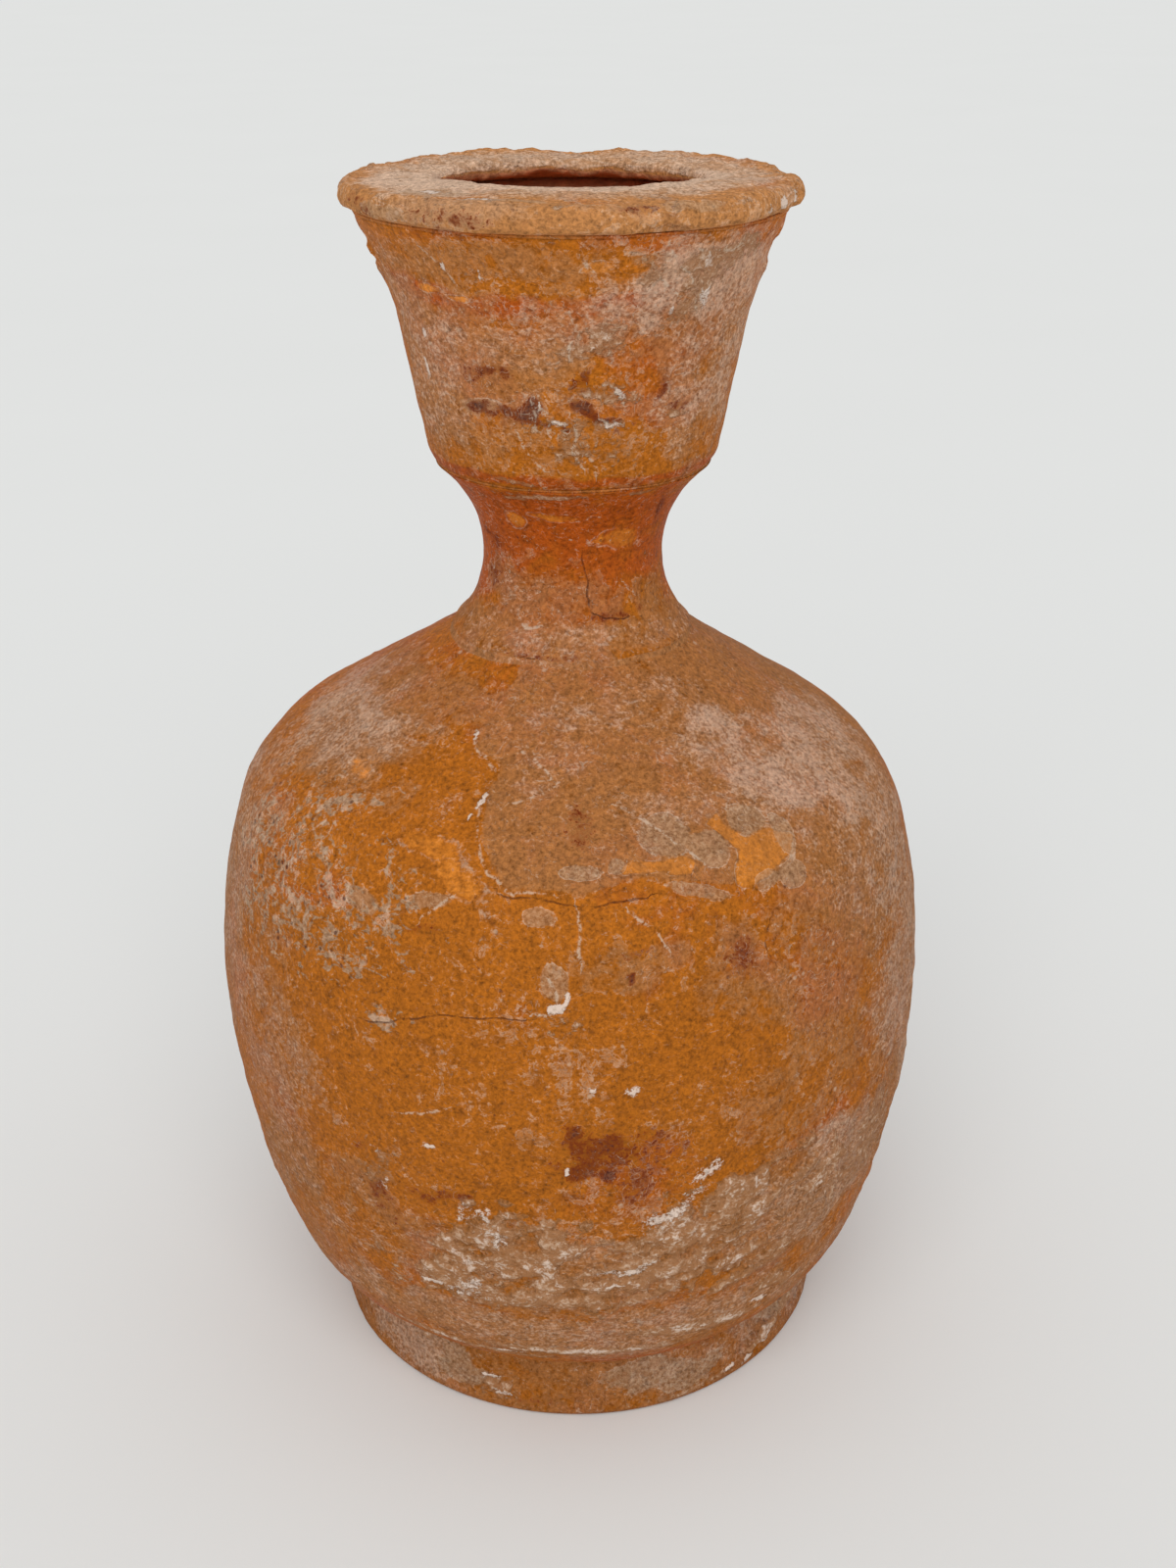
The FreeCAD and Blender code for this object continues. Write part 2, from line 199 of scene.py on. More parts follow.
@dataclass(frozen=True)
class Face:
    """The shown wall of a turned piece, a row of radii and heights from its foot up."""

    points: tuple[Point, ...]

    def radius_at(self, height: np.ndarray | float) -> np.ndarray:
        """The wall's radius at a height."""
        radii, heights = np.array(self.points).T
        return np.interp(height, heights, radii)

    def climb(self, height: np.ndarray | float) -> np.ndarray:
        """Length of the way up the wall to a height."""
        points = np.array(self.points)
        steps = np.hypot(*np.diff(points, axis=0).T)
        return np.interp(height, points[:, 1], np.concatenate(([0.0], np.cumsum(steps))))


class Skin:
    """The vertices of a piece, in millimetres, with their places on its wall."""

    bends = ((Grain(13), 8.0), (Grain(15), 8.0), (Grain(17), 2.8), (Grain(19), 2.8))

    def __init__(self, piece: bpy.types.Object, face: Face) -> None:
        """Read a piece's vertices.

        Args:
            piece: A finished closed mesh with its normals outwards.
            face: The wall that places are measured on.
        """
        mesh = piece.data
        count = len(mesh.vertices)
        self.piece = piece
        self.face = face
        self.points = np.empty(count * 3)
        mesh.vertices.foreach_get("co", self.points)
        self.points = self.points.reshape(count, 3) / MM
        self.normals = np.empty(count * 3)
        mesh.vertex_normals.foreach_get("vector", self.normals)
        self.normals = self.normals.reshape(count, 3)
        x, y, self.height = self.points.T
        self.radius = np.hypot(x, y)
        self.azimuth = np.degrees(np.arctan2(x, -y))
        unit = np.maximum(self.radius, 1e-6)
        self.outward = (self.normals[:, 0] * x + self.normals[:, 1] * y) / unit
        self.wander = [grain.layered(self.points, size, 2) for grain, size in self.bends]

    def way_from(
        self, azimuth: float, height: float, sway: float, fray: float
    ) -> tuple[np.ndarray, np.ndarray]:
        """Way along the wall and up it from a place to each vertex, bent by hand.

        Args:
            azimuth: The place's azimuth.
            height: The place's height.
            sway: How far the way wanders in broad bends, in millimetres.
            fray: How far it wanders in small ones.

        Returns:
            Millimetres round the axis, and millimetres up the wall.
        """
        turn = (self.azimuth - azimuth + 180.0) % 360.0 - 180.0
        along = np.radians(turn) * self.face.radius_at(self.height)
        up = self.face.climb(self.height) - self.face.climb(height)
        along = along + self.wander[0] * sway + self.wander[2] * fray
        return along, up + self.wander[1] * sway + self.wander[3] * fray

    def laid_out(self, places: tuple[Point, ...]) -> list[Point]:
        """Places as millimetres round and up the wall from the first of them."""
        first, height = places[0]
        low = self.face.climb(height)
        laid = []
        for azimuth, height in places:
            along = math.radians(azimuth - first) * float(self.face.radius_at(height))
            laid.append((along, float(self.face.climb(height) - low)))
        return laid

    def cover(self, shapes: tuple["Mark | Patch", ...]) -> np.ndarray:
        """The strongest of several marks and patches at each vertex."""
        total = np.zeros(len(self.points))
        for shape in shapes:
            total = np.maximum(total, shape.spread(self))
        return total

    def lift(self, amount: np.ndarray) -> None:
        """Move the vertices along their normals by a number of millimetres each."""
        self.points = self.points + self.normals * amount[:, None]

    def shift(self, ways: np.ndarray) -> None:
        """Move the vertices by a way each."""
        self.points = self.points + ways

    def carry(self, field: Field, values: np.ndarray) -> None:
        """Store numbers on the vertices for the finish to read.

        Args:
            field: Which mask or distance the numbers are.
            values: One number for each vertex.
        """
        attribute = self.piece.data.attributes.new(field.value, "FLOAT", "POINT")
        attribute.data.foreach_set("value", values.astype(np.float32))

    def carry_strokes(self, strokes: tuple["Stroke", ...], line: Field, near: Field) -> None:
        """Store the distance to the nearest of several strokes, and where it counts.

        Args:
            strokes: The thin lines on this piece.
            line: The field for the signed distance.
            near: The field for the nearness.
        """
        signed = np.full(len(self.points), 1e3)
        nearness = np.zeros(len(self.points))
        for stroke in strokes:
            distance, close = stroke.measure(self)
            nearer = np.abs(distance) < np.abs(signed)
            signed = np.where(nearer, distance, signed)
            nearness = np.maximum(nearness, close)
        self.carry(line, np.clip(signed, -5.0, 5.0))
        self.carry(near, nearness)

    def write(self) -> None:
        """Put the moved vertices back into the mesh, with the painted shade and light by height."""
        self.carry(Field.TONE, Hand.tone(self))
        mesh = self.piece.data
        mesh.vertices.foreach_set("co", (self.points * MM).ravel())
        mesh.update()


def side_of(
    along: np.ndarray, up: np.ndarray, start: Point, end: Point
) -> tuple[np.ndarray, np.ndarray]:
    """Distance to a straight run, and the side of it that each point is on.

    Args:
        along: The points' first coordinates.
        up: Their second coordinates.
        start: Where the run starts.
        end: Where it ends.

    Returns:
        Distances, and 1 to the left of the run or -1 to its right.
    """
    run = (end[0] - start[0], end[1] - start[1])
    length = math.hypot(*run)
    share = ((along - start[0]) * run[0] + (up - start[1]) * run[1]) / length**2
    share = np.clip(share, 0.0, 1.0)
    off_along = along - start[0] - share * run[0]
    off_up = up - start[1] - share * run[1]
    return np.hypot(off_along, off_up), np.sign(run[0] * off_up - run[1] * off_along)


@dataclass(frozen=True)
class Mark:
    """An oval on the wall with ragged bends, given by half its sizes round and up the wall."""

    azimuth: float
    height: float
    half_width: float
    half_height: float
    turn: float = 0.0
    strength: float = 1.0
    ragged: float = 1.0

    def spread(self, skin: Skin) -> np.ndarray:
        """Strength of the mark, which is half of its own at the oval's edge.

        Args:
            skin: The vertices to cover.

        Returns:
            One number from 0 to the strength for each vertex.
        """
        small = min(self.half_width, self.half_height)
        sway = min(0.45 * small, 4.0) * self.ragged
        fray = min(0.30 * small, 1.2) * self.ragged
        along, up = skin.way_from(self.azimuth, self.height, sway, fray)
        across = along * cos(self.turn) + up * sin(self.turn)
        rise = up * cos(self.turn) - along * sin(self.turn)
        distance = np.hypot(across / self.half_width, rise / self.half_height)
        return np.clip(1.5 - distance, 0.0, 1.0) * self.strength


@dataclass(frozen=True)
class Patch:
    """A drawn area on the wall, with its outline through places of azimuth and height."""

    places: tuple[Point, ...]
    soft: float = 3.0
    strength: float = 1.0
    sway: float = 0.5
    fray: float = 0.5

    def spread(self, skin: Skin) -> np.ndarray:
        """Strength of the patch, which is half of its own at the outline.

        Args:
            skin: The vertices to cover.

        Returns:
            One number from 0 to the strength for each vertex.
        """
        azimuth, height = self.places[0]
        along, up = skin.way_from(azimuth, height, self.sway, self.fray)
        corners = skin.laid_out(self.places)
        best = np.full(len(along), 1e3)
        within = np.zeros(len(along), dtype=bool)
        for start, end in zip(corners, corners[1:] + corners[:1]):
            distance, _ = side_of(along, up, start, end)
            best = np.minimum(best, distance)
            crosses = (start[1] > up) != (end[1] > up)
            rise = end[1] - start[1] if end[1] != start[1] else 1e-9
            meets = start[0] + (end[0] - start[0]) * (up - start[1]) / rise
            within ^= crosses & (along < meets)
        signed = np.where(within, best, -best)
        return np.clip(0.5 + signed / self.soft, 0.0, 1.0) * self.strength


@dataclass(frozen=True)
class Stroke:
    """A thin line on the wall through places, each an azimuth and a height."""

    places: tuple[Point, ...]
    reach: float = 2.2

    def measure(self, skin: Skin) -> tuple[np.ndarray, np.ndarray]:
        """Signed distance to the line, and how near its length each vertex is.

        Args:
            skin: The vertices to measure from.

        Returns:
            Distances, below 0 on one side, and 1 beside the line falling to 0 away from it.
        """
        azimuth, height = self.places[0]
        along, up = skin.way_from(azimuth, height, 0.5, 0.35)
        best = np.full(len(along), 1e3)
        signed = np.full(len(along), 1e3)
        corners = skin.laid_out(self.places)
        for start, end in zip(corners, corners[1:]):
            distance, side = side_of(along, up, start, end)
            nearer = distance < best
            best = np.where(nearer, distance, best)
            signed = np.where(nearer, distance * side, signed)
        return signed, 1.0 - smooth(self.reach * 0.5, self.reach, best)


Marks = tuple[Mark | Patch, ...]
Strokes = tuple[Stroke, ...]


def marks(*rows: tuple[float, ...]) -> Marks:
    """Marks from rows of numbers in the order of Mark's fields."""
    return tuple(Mark(*row) for row in rows)


def strokes(reach: float, *lines: tuple[Point, ...]) -> Strokes:
    """Strokes that reach equally far, from rows of places."""
    return tuple(Stroke(places, reach) for places in lines)


class Hand:
    """What the potter's hand and the years did to the whole form, alike for all of its pieces."""

    wobble = Grain(3)
    ridges = Grain(5)
    dents = Grain(7)
    tooth = Grain(11)
    ridge_lines = Grain(23)
    lumps = Grain(29)

    @classmethod
    def lean(cls, points: np.ndarray) -> np.ndarray:
        """Slow drift of the axis, slack of the shoulder and ovalness of the wall.

        Args:
            points: Points in millimetres, one row each.

        Returns:
            The way that each point moves.
        """
        x, y, z = points.T
        radius = np.hypot(x, y)
        ways = np.zeros_like(points)
        drift = np.interp(z, LEAN_HEIGHTS, LEAN_TO_RIGHT)
        ways[:, 0] += drift
        slack = smooth(*SLACK_FROM, z) * (1.0 - smooth(*SLACK_TO, z))
        to_right = smooth(*SLACK_ACROSS, x)
        to_left = smooth(*SLACK_ACROSS, -x)
        ways[:, 2] -= slack * (SHOULDER_DROP_RIGHT * to_right + SHOULDER_DROP_LEFT * to_left)
        ways[:, 0] -= slack * 0.35 * SHOULDER_DROP_RIGHT * to_right
        ways[:, 0] -= smooth(*FLARE_FROM, z) * smooth(*FLARE_ACROSS, x) * FLARE_IN_RIGHT
        round_place = points * np.array([1.0, 1.0, 0.55])
        swell = cls.wobble.at(round_place, 34.0) * WOBBLE
        unit = np.maximum(radius, 1e-6)
        ways[:, 0] += swell * x / unit
        ways[:, 1] += swell * y / unit
        return ways

    @classmethod
    def relief(cls, skin: Skin, strength: float) -> np.ndarray:
        """Turning ridges, dents and the tooth of the clay.

        Args:
            skin: The vertices to raise or sink.
            strength: Share of the usual relief.

        Returns:
            Millimetres along each vertex's normal.
        """
        rounds = skin.points * np.array([0.12, 0.12, 1.0])
        ridge = cls.ridges.layered(rounds, 3.4, 3) * RIDGE_HEIGHT
        dent = cls.dents.layered(skin.points, 9.0, 3) * DENT_DEPTH
        tooth = cls.tooth.layered(skin.points, 2.4, 2) * TOOTH_HEIGHT
        return (ridge + dent + tooth) * strength

    @classmethod
    def tone(cls, skin: Skin) -> np.ndarray:
        """Painted shade and light by height, as a share paler at each vertex, below 0 where darker.
        """
        return np.interp(skin.points[:, 2], PAINTED_SHADE_HEIGHTS, PAINTED_SHADE_SHARES)

    @classmethod
    def crust(cls, skin: Skin) -> np.ndarray:
        """Lime on the lower belly, in ridges that rise to the right.

        Args:
            skin: The vertices to cover.

        Returns:
            One number for each vertex, 0 on bare wall and 1 on a ridge.
        """
        x, y, z = skin.points.T
        tilted = np.column_stack((x * 0.42, y * 0.42, z - 0.30 * x))
        ridge = 1.0 - np.abs(cls.ridge_lines.layered(tilted, 4.6, 3)) * 1.9
        lump = cls.lumps.layered(skin.points, 3.0, 3)
        return smooth(0.30, 0.95, skin.cover(LIMED) * 0.62 + ridge * 0.30 + lump * 0.22)


LEAN_HEIGHTS = (0.0, 30.0, 62.0, 118.0, 142.0, 180.0)
LEAN_TO_RIGHT = (0.5, -0.1, -0.7, -0.2, 0.1, 0.0)
SLACK_FROM = (70.0, 98.0)
SLACK_TO = (112.0, 124.0)
SLACK_ACROSS = (4.0, 46.0)
SHOULDER_DROP_RIGHT = 1.0
SHOULDER_DROP_LEFT = -0.3
FLARE_FROM = (164.0, 174.0)
FLARE_ACROSS = (5.0, 28.0)
FLARE_IN_RIGHT = 0.6
WOBBLE = 0.22
# Painted shade and light by height: the wall is painted darker towards the foot and paler on the
# cup.
PAINTED_SHADE_HEIGHTS = (0.0, 12.0, 26.0, 50.0, 85.0, 100.0, 140.0, 152.0, 176.0, 181.0)
PAINTED_SHADE_SHARES = (-0.20, -0.14, -0.07, -0.09, -0.07, 0.0, 0.0, 0.10, 0.16, 0.05)
RIDGE_HEIGHT = 0.07
DENT_DEPTH = 0.11
TOOTH_HEIGHT = 0.05
LIMED = (
    Patch(
        (
            (-31, 30), (-28, 37), (-23, 44), (-16, 52.6), (-5, 52.2), (2, 49), (8, 49),
            (15, 52.8), (21, 56.0), (30, 56.0), (40, 54), (48, 49), (50, 38), (44, 31),
            (20, 28), (0, 29), (-14, 27), (-24, 26),
        ),
        soft=8.0,
        sway=1.6,
        fray=1.0,
    ),
)


class Outline:
    """Half of a turned section as a row of points, each a radius and a height."""

    def __init__(self, radius: float, height: float) -> None:
        """Start the outline at a point."""
        self.points: list[Point] = [(radius, height)]

    def line(self, radius: float, height: float, step: float) -> None:
        """Go straight to a point.

        Args:
            radius: The point's radius.
            height: The point's height.
            step: About how far apart the outline's points lie.
        """
        start = self.points[-1]
        length = math.dist(start, (radius, height))
        count = max(1, round(length / step))
        for number in range(1, count + 1):
            share = number / count
            at_radius = start[0] + (radius - start[0]) * share
            at_height = start[1] + (height - start[1]) * share
            self.points.append((at_radius, at_height))

    def arc(self, centre: Point, size: float, start: float, end: float, step: float) -> None:
        """Go round part of a circle.

        Args:
            centre: The circle's centre.
            size: The circle's radius.
            start: Angle at the start, in degrees from level outwards, rising.
            end: Angle at the end.
            step: About how far apart the outline's points lie.
        """
        count = max(1, round(abs(math.radians(end - start)) * size / step))
        for number in range(1, count + 1):
            angle = start + (end - start) * number / count
            self.points.append((centre[0] + size * cos(angle), centre[1] + size * sin(angle)))

    def bulge(self, radius: float, height: float, rise: float, step: float) -> None:
        """Go to a point along an arc that rises to the left of the straight way.

        Args:
            radius: The point's radius.
            height: The point's height.
            rise: How far the arc's middle stands off the straight way.
            step: About how far apart the outline's points lie.
        """
        start = self.points[-1]
        run = (radius - start[0], height - start[1])
        length = math.hypot(*run)
        side = (-run[1] / length, run[0] / length)
        count = max(2, round(length / step))
        for number in range(1, count + 1):
            share = number / count
            off = 4.0 * rise * share * (1.0 - share)
            at_radius = start[0] + run[0] * share + side[0] * off
            at_height = start[1] + run[1] * share + side[1] * off
            self.points.append((at_radius, at_height))


class Bench:
    """Where meshes are made with the modelling operators."""

    @staticmethod
    def clear() -> None:
        """Leave nothing selected."""
        bpy.ops.object.select_all(action="DESELECT")

    @staticmethod
    @contextmanager
    def editing() -> Iterator[None]:
        """Edit the active mesh, with all of it selected."""
        bpy.ops.object.mode_set(mode="EDIT")
        bpy.ops.mesh.select_all(action="SELECT")
        yield
        bpy.ops.object.mode_set(mode="OBJECT")

    @classmethod
    def turn(cls, name: str, outline: Outline, steps: int) -> bpy.types.Object:
        """Draw an outline by extruding one vertex, and turn it round the axis.

        Args:
            name: The piece's name.
            outline: The section, closed or from axis to axis.
            steps: How many steps the turn takes.

        Returns:
            The closed piece, with its normals outwards.
        """
        cls.clear()
        bpy.ops.mesh.primitive_plane_add(size=MM)
        piece = bpy.context.object
        piece.name = name
        piece.data.name = name
        with cls.editing():
            bpy.ops.mesh.merge(type="CENTER")
            first = outline.points[0]
            bpy.ops.transform.translate(value=(first[0] * MM, 0.0, first[1] * MM))
            for start, end in zip(outline.points, outline.points[1:]):
                way = ((end[0] - start[0]) * MM, 0.0, (end[1] - start[1]) * MM)
                bpy.ops.mesh.extrude_region_move(TRANSFORM_OT_translate={"value": way})
        modifier = piece.modifiers.new("turned", "SCREW")
        modifier.axis = "Z"
        modifier.angle = 2 * math.pi
        modifier.steps = steps
        modifier.render_steps = steps
        modifier.use_merge_vertices = True
        modifier.merge_threshold = MERGED
        bpy.ops.object.modifier_apply(modifier=modifier.name)
        with cls.editing():
            bpy.ops.mesh.remove_doubles(threshold=MERGED)
            bpy.ops.mesh.normals_make_consistent(inside=False)
            bpy.ops.mesh.faces_shade_smooth()
        cls.clear()
        return piece

    @classmethod
    def grid(cls, name: str, across: int, up: int) -> bpy.types.Object:
        """A flat square grid that a patch is then laid out on.

        Args:
            name: The piece's name.
            across: Cells from side to side.
            up: Cells from bottom to top.

        Returns:
            The grid, one metre wide, in the XZ plane.
        """
        cls.clear()
        bpy.ops.mesh.primitive_grid_add(x_subdivisions=across, y_subdivisions=up, size=1.0)
        piece = bpy.context.object
        piece.name = name
        piece.data.name = name
        with cls.editing():
            bpy.ops.transform.rotate(
                value=math.radians(90.0), orient_axis="X", center_override=(0.0, 0.0, 0.0)
            )
            bpy.ops.mesh.faces_shade_smooth()
        cls.clear()
        return piece

    @classmethod
    def thicken(cls, piece: bpy.types.Object) -> None:
        """Give a flat grid a back, a millimetre behind it, so that it is closed.

        Args:
            piece: The grid.
        """
        bpy.context.view_layer.objects.active = piece
        piece.select_set(True)
        modifier = piece.modifiers.new("back", "SOLIDIFY")
        modifier.thickness = MM
        modifier.offset = -1.0
        bpy.ops.object.modifier_apply(modifier=modifier.name)
        with cls.editing():
            bpy.ops.mesh.normals_make_consistent(inside=False)
            bpy.ops.mesh.faces_shade_smooth()
        cls.clear()


class Socket:
    """A shader socket in a Python expression, where each operator adds a Math node."""

    def __init__(self, graph: "Graph", link: bpy.types.NodeSocket) -> None:
        """Wrap a node's output."""
        self.graph = graph
        self.link = link

    def math(self, operation: str, first: "Number", second: "Number") -> "Socket":
        """Add a Math node.

        Args:
            operation: The node's operation.
            first: Its first value.
            second: Its second value.

        Returns:
            The node's result.
        """
        node = self.graph.node(
            "ShaderNodeMath", {"operation": operation}, {0: first, 1: second}
        )
        return Socket(self.graph, node.outputs[0])

    def __add__(self, other: "Number") -> "Socket":
        """This plus a number."""
        return self.math("ADD", self, other)

    def __radd__(self, other: "Number") -> "Socket":
        """A number plus this."""
        return self.math("ADD", other, self)

    def __sub__(self, other: "Number") -> "Socket":
        """This minus a number."""
        return self.math("SUBTRACT", self, other)

    def __rsub__(self, other: "Number") -> "Socket":
        """A number minus this."""
        return self.math("SUBTRACT", other, self)

    def __mul__(self, other: "Number") -> "Socket":
        """This times a number."""
        return self.math("MULTIPLY", self, other)

    def __rmul__(self, other: "Number") -> "Socket":
        """A number times this."""
        return self.math("MULTIPLY", other, self)

    def __abs__(self) -> "Socket":
        """This without its sign."""
        return self.math("ABSOLUTE", self, 0.0)

    def larger(self, other: "Number") -> "Socket":
        """The larger of this and a number."""
        return self.math("MAXIMUM", self, other)

    def eased(self, low: float, high: float) -> "Socket":
        """Ease this from 0 at the low edge to 1 at the high edge.

        Args:
            low: Where the result starts to change.
            high: Where the result reaches 1, which may be below the low edge.

        Returns:
            The eased value.
        """
        ends = {1: low, 2: high, 3: 0.0, 4: 1.0}
        if high < low:
            ends = {1: high, 2: low, 3: 1.0, 4: 0.0}
        node = self.graph.node(
            "ShaderNodeMapRange", {"interpolation_type": "SMOOTHSTEP"}, {0: self, **ends}
        )
        return Socket(self.graph, node.outputs[0])


Number = float | Socket


class Graph:
    """A material's node tree, built from expressions."""

    def __init__(self, name: str) -> None:
        """Start a material with an empty tree.

        Args:
            name: The material's name.
        """
        self.material = bpy.data.materials.new(name)
        self.material.use_nodes = True
        self.tree = self.material.node_tree
        self.tree.nodes.clear()
        self.point = self.scaled_point((1000.0, 1000.0, 1000.0))

    def node(self, kind: str, settings: dict, inputs: dict) -> bpy.types.Node:
        """Add a node, set its settings, then fill its sockets.

        Args:
            kind: The node's type.
            settings: Its properties, such as an operation.
            inputs: Values, sockets or links by socket name or number.

        Returns:
            The node.
        """
        node = self.tree.nodes.new(kind)
        for key, value in settings.items():
            setattr(node, key, value)
        for key, value in inputs.items():
            if isinstance(value, Socket):
                value = value.link
            if isinstance(value, bpy.types.NodeSocket):
                self.tree.links.new(value, node.inputs[key])
            else:
                node.inputs[key].default_value = value
        return node

    def scaled_point(self, scale: Colour) -> bpy.types.NodeSocket:
        """The surface point in object coordinates, times a number on each axis."""
        place = self.node("ShaderNodeTexCoord", {}, {})
        node = self.node(
            "ShaderNodeVectorMath",
            {"operation": "MULTIPLY"},
            {0: place.outputs["Object"], 1: scale},
        )
        return node.outputs[0]

    def noise(
        self,
        size: float,
        detail: float = 3.0,
        roughness: float = 0.55,
        distortion: float = 0.0,
        stretch: Colour = (1.0, 1.0, 1.0),
        offset: float = 0.0,
    ) -> Socket:
        """Noise with lumps of a size in millimetres.

        Args:
            size: Width of the widest lumps.
            detail: How many finer layers are added.
            roughness: Strength of each finer layer against the one before.
            distortion: How far the pattern is pulled about.
            stretch: How far the pattern is squeezed along each axis.
            offset: A move along every axis that makes another pattern.

        Returns:
            The noise, mostly from -1 to 1 and evenly about 0.
        """
        moved = self.node(
            "ShaderNodeVectorMath",
            {"operation": "MULTIPLY_ADD"},
            {0: self.point, 1: stretch, 2: (offset, offset * 0.7, offset * 1.3)},
        )
        node = self.node(
            "ShaderNodeTexNoise",
            {"noise_dimensions": "3D"},
            {
                "Vector": moved.outputs[0],
                "Scale": 1.0 / size,
                "Detail": detail,
                "Roughness": roughness,
                "Distortion": distortion,
            },
        )
        return (Socket(self, node.outputs[0]) - 0.5) * 4.0

    def threads(self, size: float, width: float, distortion: float, offset: float) -> Socket:
        """Thin curling lines where a noise crosses its middle.

        Args:
            size: About how far apart the lines are, in millimetres.
            width: Their width as a share of the noise's swing.
            distortion: How much they curl.
            offset: A move that makes another pattern.

        Returns:
            1 on a line and 0 away from it.
        """
        noise = self.noise(size, 2.0, 0.5, distortion, offset=offset)
        return abs(noise).eased(width, 0.0)

    def spots(self, size: float, low: float, high: float, offset: float) -> Socket:
        """Round spots around scattered centres.

        Args:
            size: About how far apart the centres are, in millimetres.
            low: Distance from a centre where a spot has faded, as a share of the size.
            high: Distance where it is full.
            offset: A move that makes another pattern.

        Returns:
            1 in a spot and 0 outside.
        """
        moved = self.node(
            "ShaderNodeVectorMath",
            {"operation": "ADD"},
            {0: self.point, 1: (offset, offset * 0.7, offset * 1.3)},
        )
        node = self.node(
            "ShaderNodeTexVoronoi",
            {"voronoi_dimensions": "3D", "feature": "F1"},
            {"Vector": moved.outputs[0], "Scale": 1.0 / size, "Randomness": 1.0},
        )
        return Socket(self, node.outputs[0]).eased(low, high)

    def field(self, field: Field) -> Socket:
        """A mask or distance that the vertices carry."""
        node = self.node("ShaderNodeAttribute", {"attribute_name": field.value}, {})
        return Socket(self, node.outputs["Fac"])

    def colour(self, colour: Colour) -> bpy.types.NodeSocket:
        """A plain colour as a socket."""
        node = self.node("ShaderNodeRGB", {}, {})
        node.outputs[0].default_value = (*colour, 1.0)
        return node.outputs[0]

    def mix(self, share: Number, first: object, second: object) -> bpy.types.NodeSocket:
        """Mix two colours.

        Args:
            share: How much of the second colour shows.
            first: A colour or a colour socket.
            second: A colour or a colour socket.

        Returns:
            The mixed colour.
        """
        first = (*first, 1.0) if isinstance(first, tuple) else first
        second = (*second, 1.0) if isinstance(second, tuple) else second
        node = self.node(
            "ShaderNodeMix",
            {"data_type": "RGBA", "clamp_factor": True},
            {0: share, 6: first, 7: second},
        )
        return node.outputs[2]

    def lit(self, colour: bpy.types.NodeSocket, factor: Socket) -> bpy.types.NodeSocket:
        """A colour made darker or paler by a factor."""
        node = self.node(
            "ShaderNodeVectorMath", {"operation": "SCALE"}, {0: colour, "Scale": factor}
        )
        return node.outputs[0]

    def finish(
        self, colour: bpy.types.NodeSocket, roughness: Number, height: Socket, level: float
    ) -> bpy.types.Material:
        """Close the tree with a shader.

        Args:
            colour: The base colour.
            roughness: The roughness.
            height: The fine relief in millimetres.
            level: The specular level.

        Returns:
            The material.
        """
        bump = self.node(
            "ShaderNodeBump", {}, {"Strength": 1.0, "Distance": MM, "Height": height}
        )
        shader = self.node(
            "ShaderNodeBsdfPrincipled",
            {},
            {
                "Base Color": colour,
                "Roughness": roughness,
                "Specular IOR Level": level,
                "Normal": bump.outputs[0],
            },
        )
        self.node("ShaderNodeOutputMaterial", {}, {0: shader.outputs[0]})
        return self.material


@dataclass(frozen=True)
class Clay:
    """Fired clay with a red slip, under a worn skin, scratches and lime."""

    name: str
    slip: Colour = (0.430, 0.126, 0.008)
    slip_red: Colour = (0.410, 0.080, 0.006)
    slip_brown: Colour = (0.215, 0.062, 0.008)
    bright: Colour = (0.610, 0.200, 0.022)
    skin: Colour = (0.325, 0.156, 0.064)
    dust: Colour = (0.560, 0.390, 0.285)
    # Pale colour of hairs, scratches and disc rims, also painted as a highlight along flake edges.
    edge: Colour = (0.620, 0.480, 0.360)
    lime: Colour = (0.600, 0.410, 0.280)
    # Pale lime, also a painted highlight on the lime's ridges.
    white_and_painted_highlight: Colour = (0.780, 0.630, 0.530)
    lime_shade: Colour = (0.380, 0.180, 0.080)
    grey: Colour = (0.370, 0.245, 0.150)
    stain: Colour = (0.080, 0.019, 0.014)
    scorch: Colour = (0.165, 0.026, 0.003)
    # Bare clay of the inside, painted paler to stand in for the light inside.
    inside: Colour = (0.600, 0.245, 0.115)
    skin_more: float = 0.0
    lime_more: float = 0.0
    roughness: float = 0.62
    wiped: Colour = (0.62, 0.62, 1.05)

    def build(self) -> bpy.types.Material:
        """Build the material.

        Returns:
            The material that the clay pieces wear.
        """
        coat = Coat(self)
        coat.slip()
        coat.film()
        coat.powder()
        coat.windows()
        coat.discs()
        coat.lichen()
        coat.shade()
        coat.stains()
        coat.threads()
        coat.lime()
        coat.lines()
        coat.inside()
        return coat.finish()


@dataclass(frozen=True)
class Shares:
    """How far each layer of a clay hides what lies under it, from 0 to 1."""

    clouds: float = 0.62
    brown_flecks: float = 0.50
    film: float = 0.38
    thick_film: float = 0.22
    # Painted highlight along the film's edge.
    film_edge_painted_highlight: float = 0.30
    powder: float = 0.30
    strokes: float = 0.42
    window: float = 0.66
    # Painted highlight along a window's edge.
    window_edge_painted_highlight: float = 0.34
    disc: float = 0.44
    disc_edge: float = 0.45
    lichen: float = 0.66
    lichen_dust: float = 0.38
    holes: float = 0.75
    specks: float = 0.55
    stain: float = 0.80
    hairs: float = 0.40
    pale_flecks: float = 0.60
    lime: float = 0.76
    # Lime and painted highlight on the ridges.
    ridges: float = 0.66
    pale: float = 0.88
    crack: float = 0.55
    scratch: float = 0.62
    # The inside's bare clay, painted paler to stand in for light.
    inside: float = 0.92


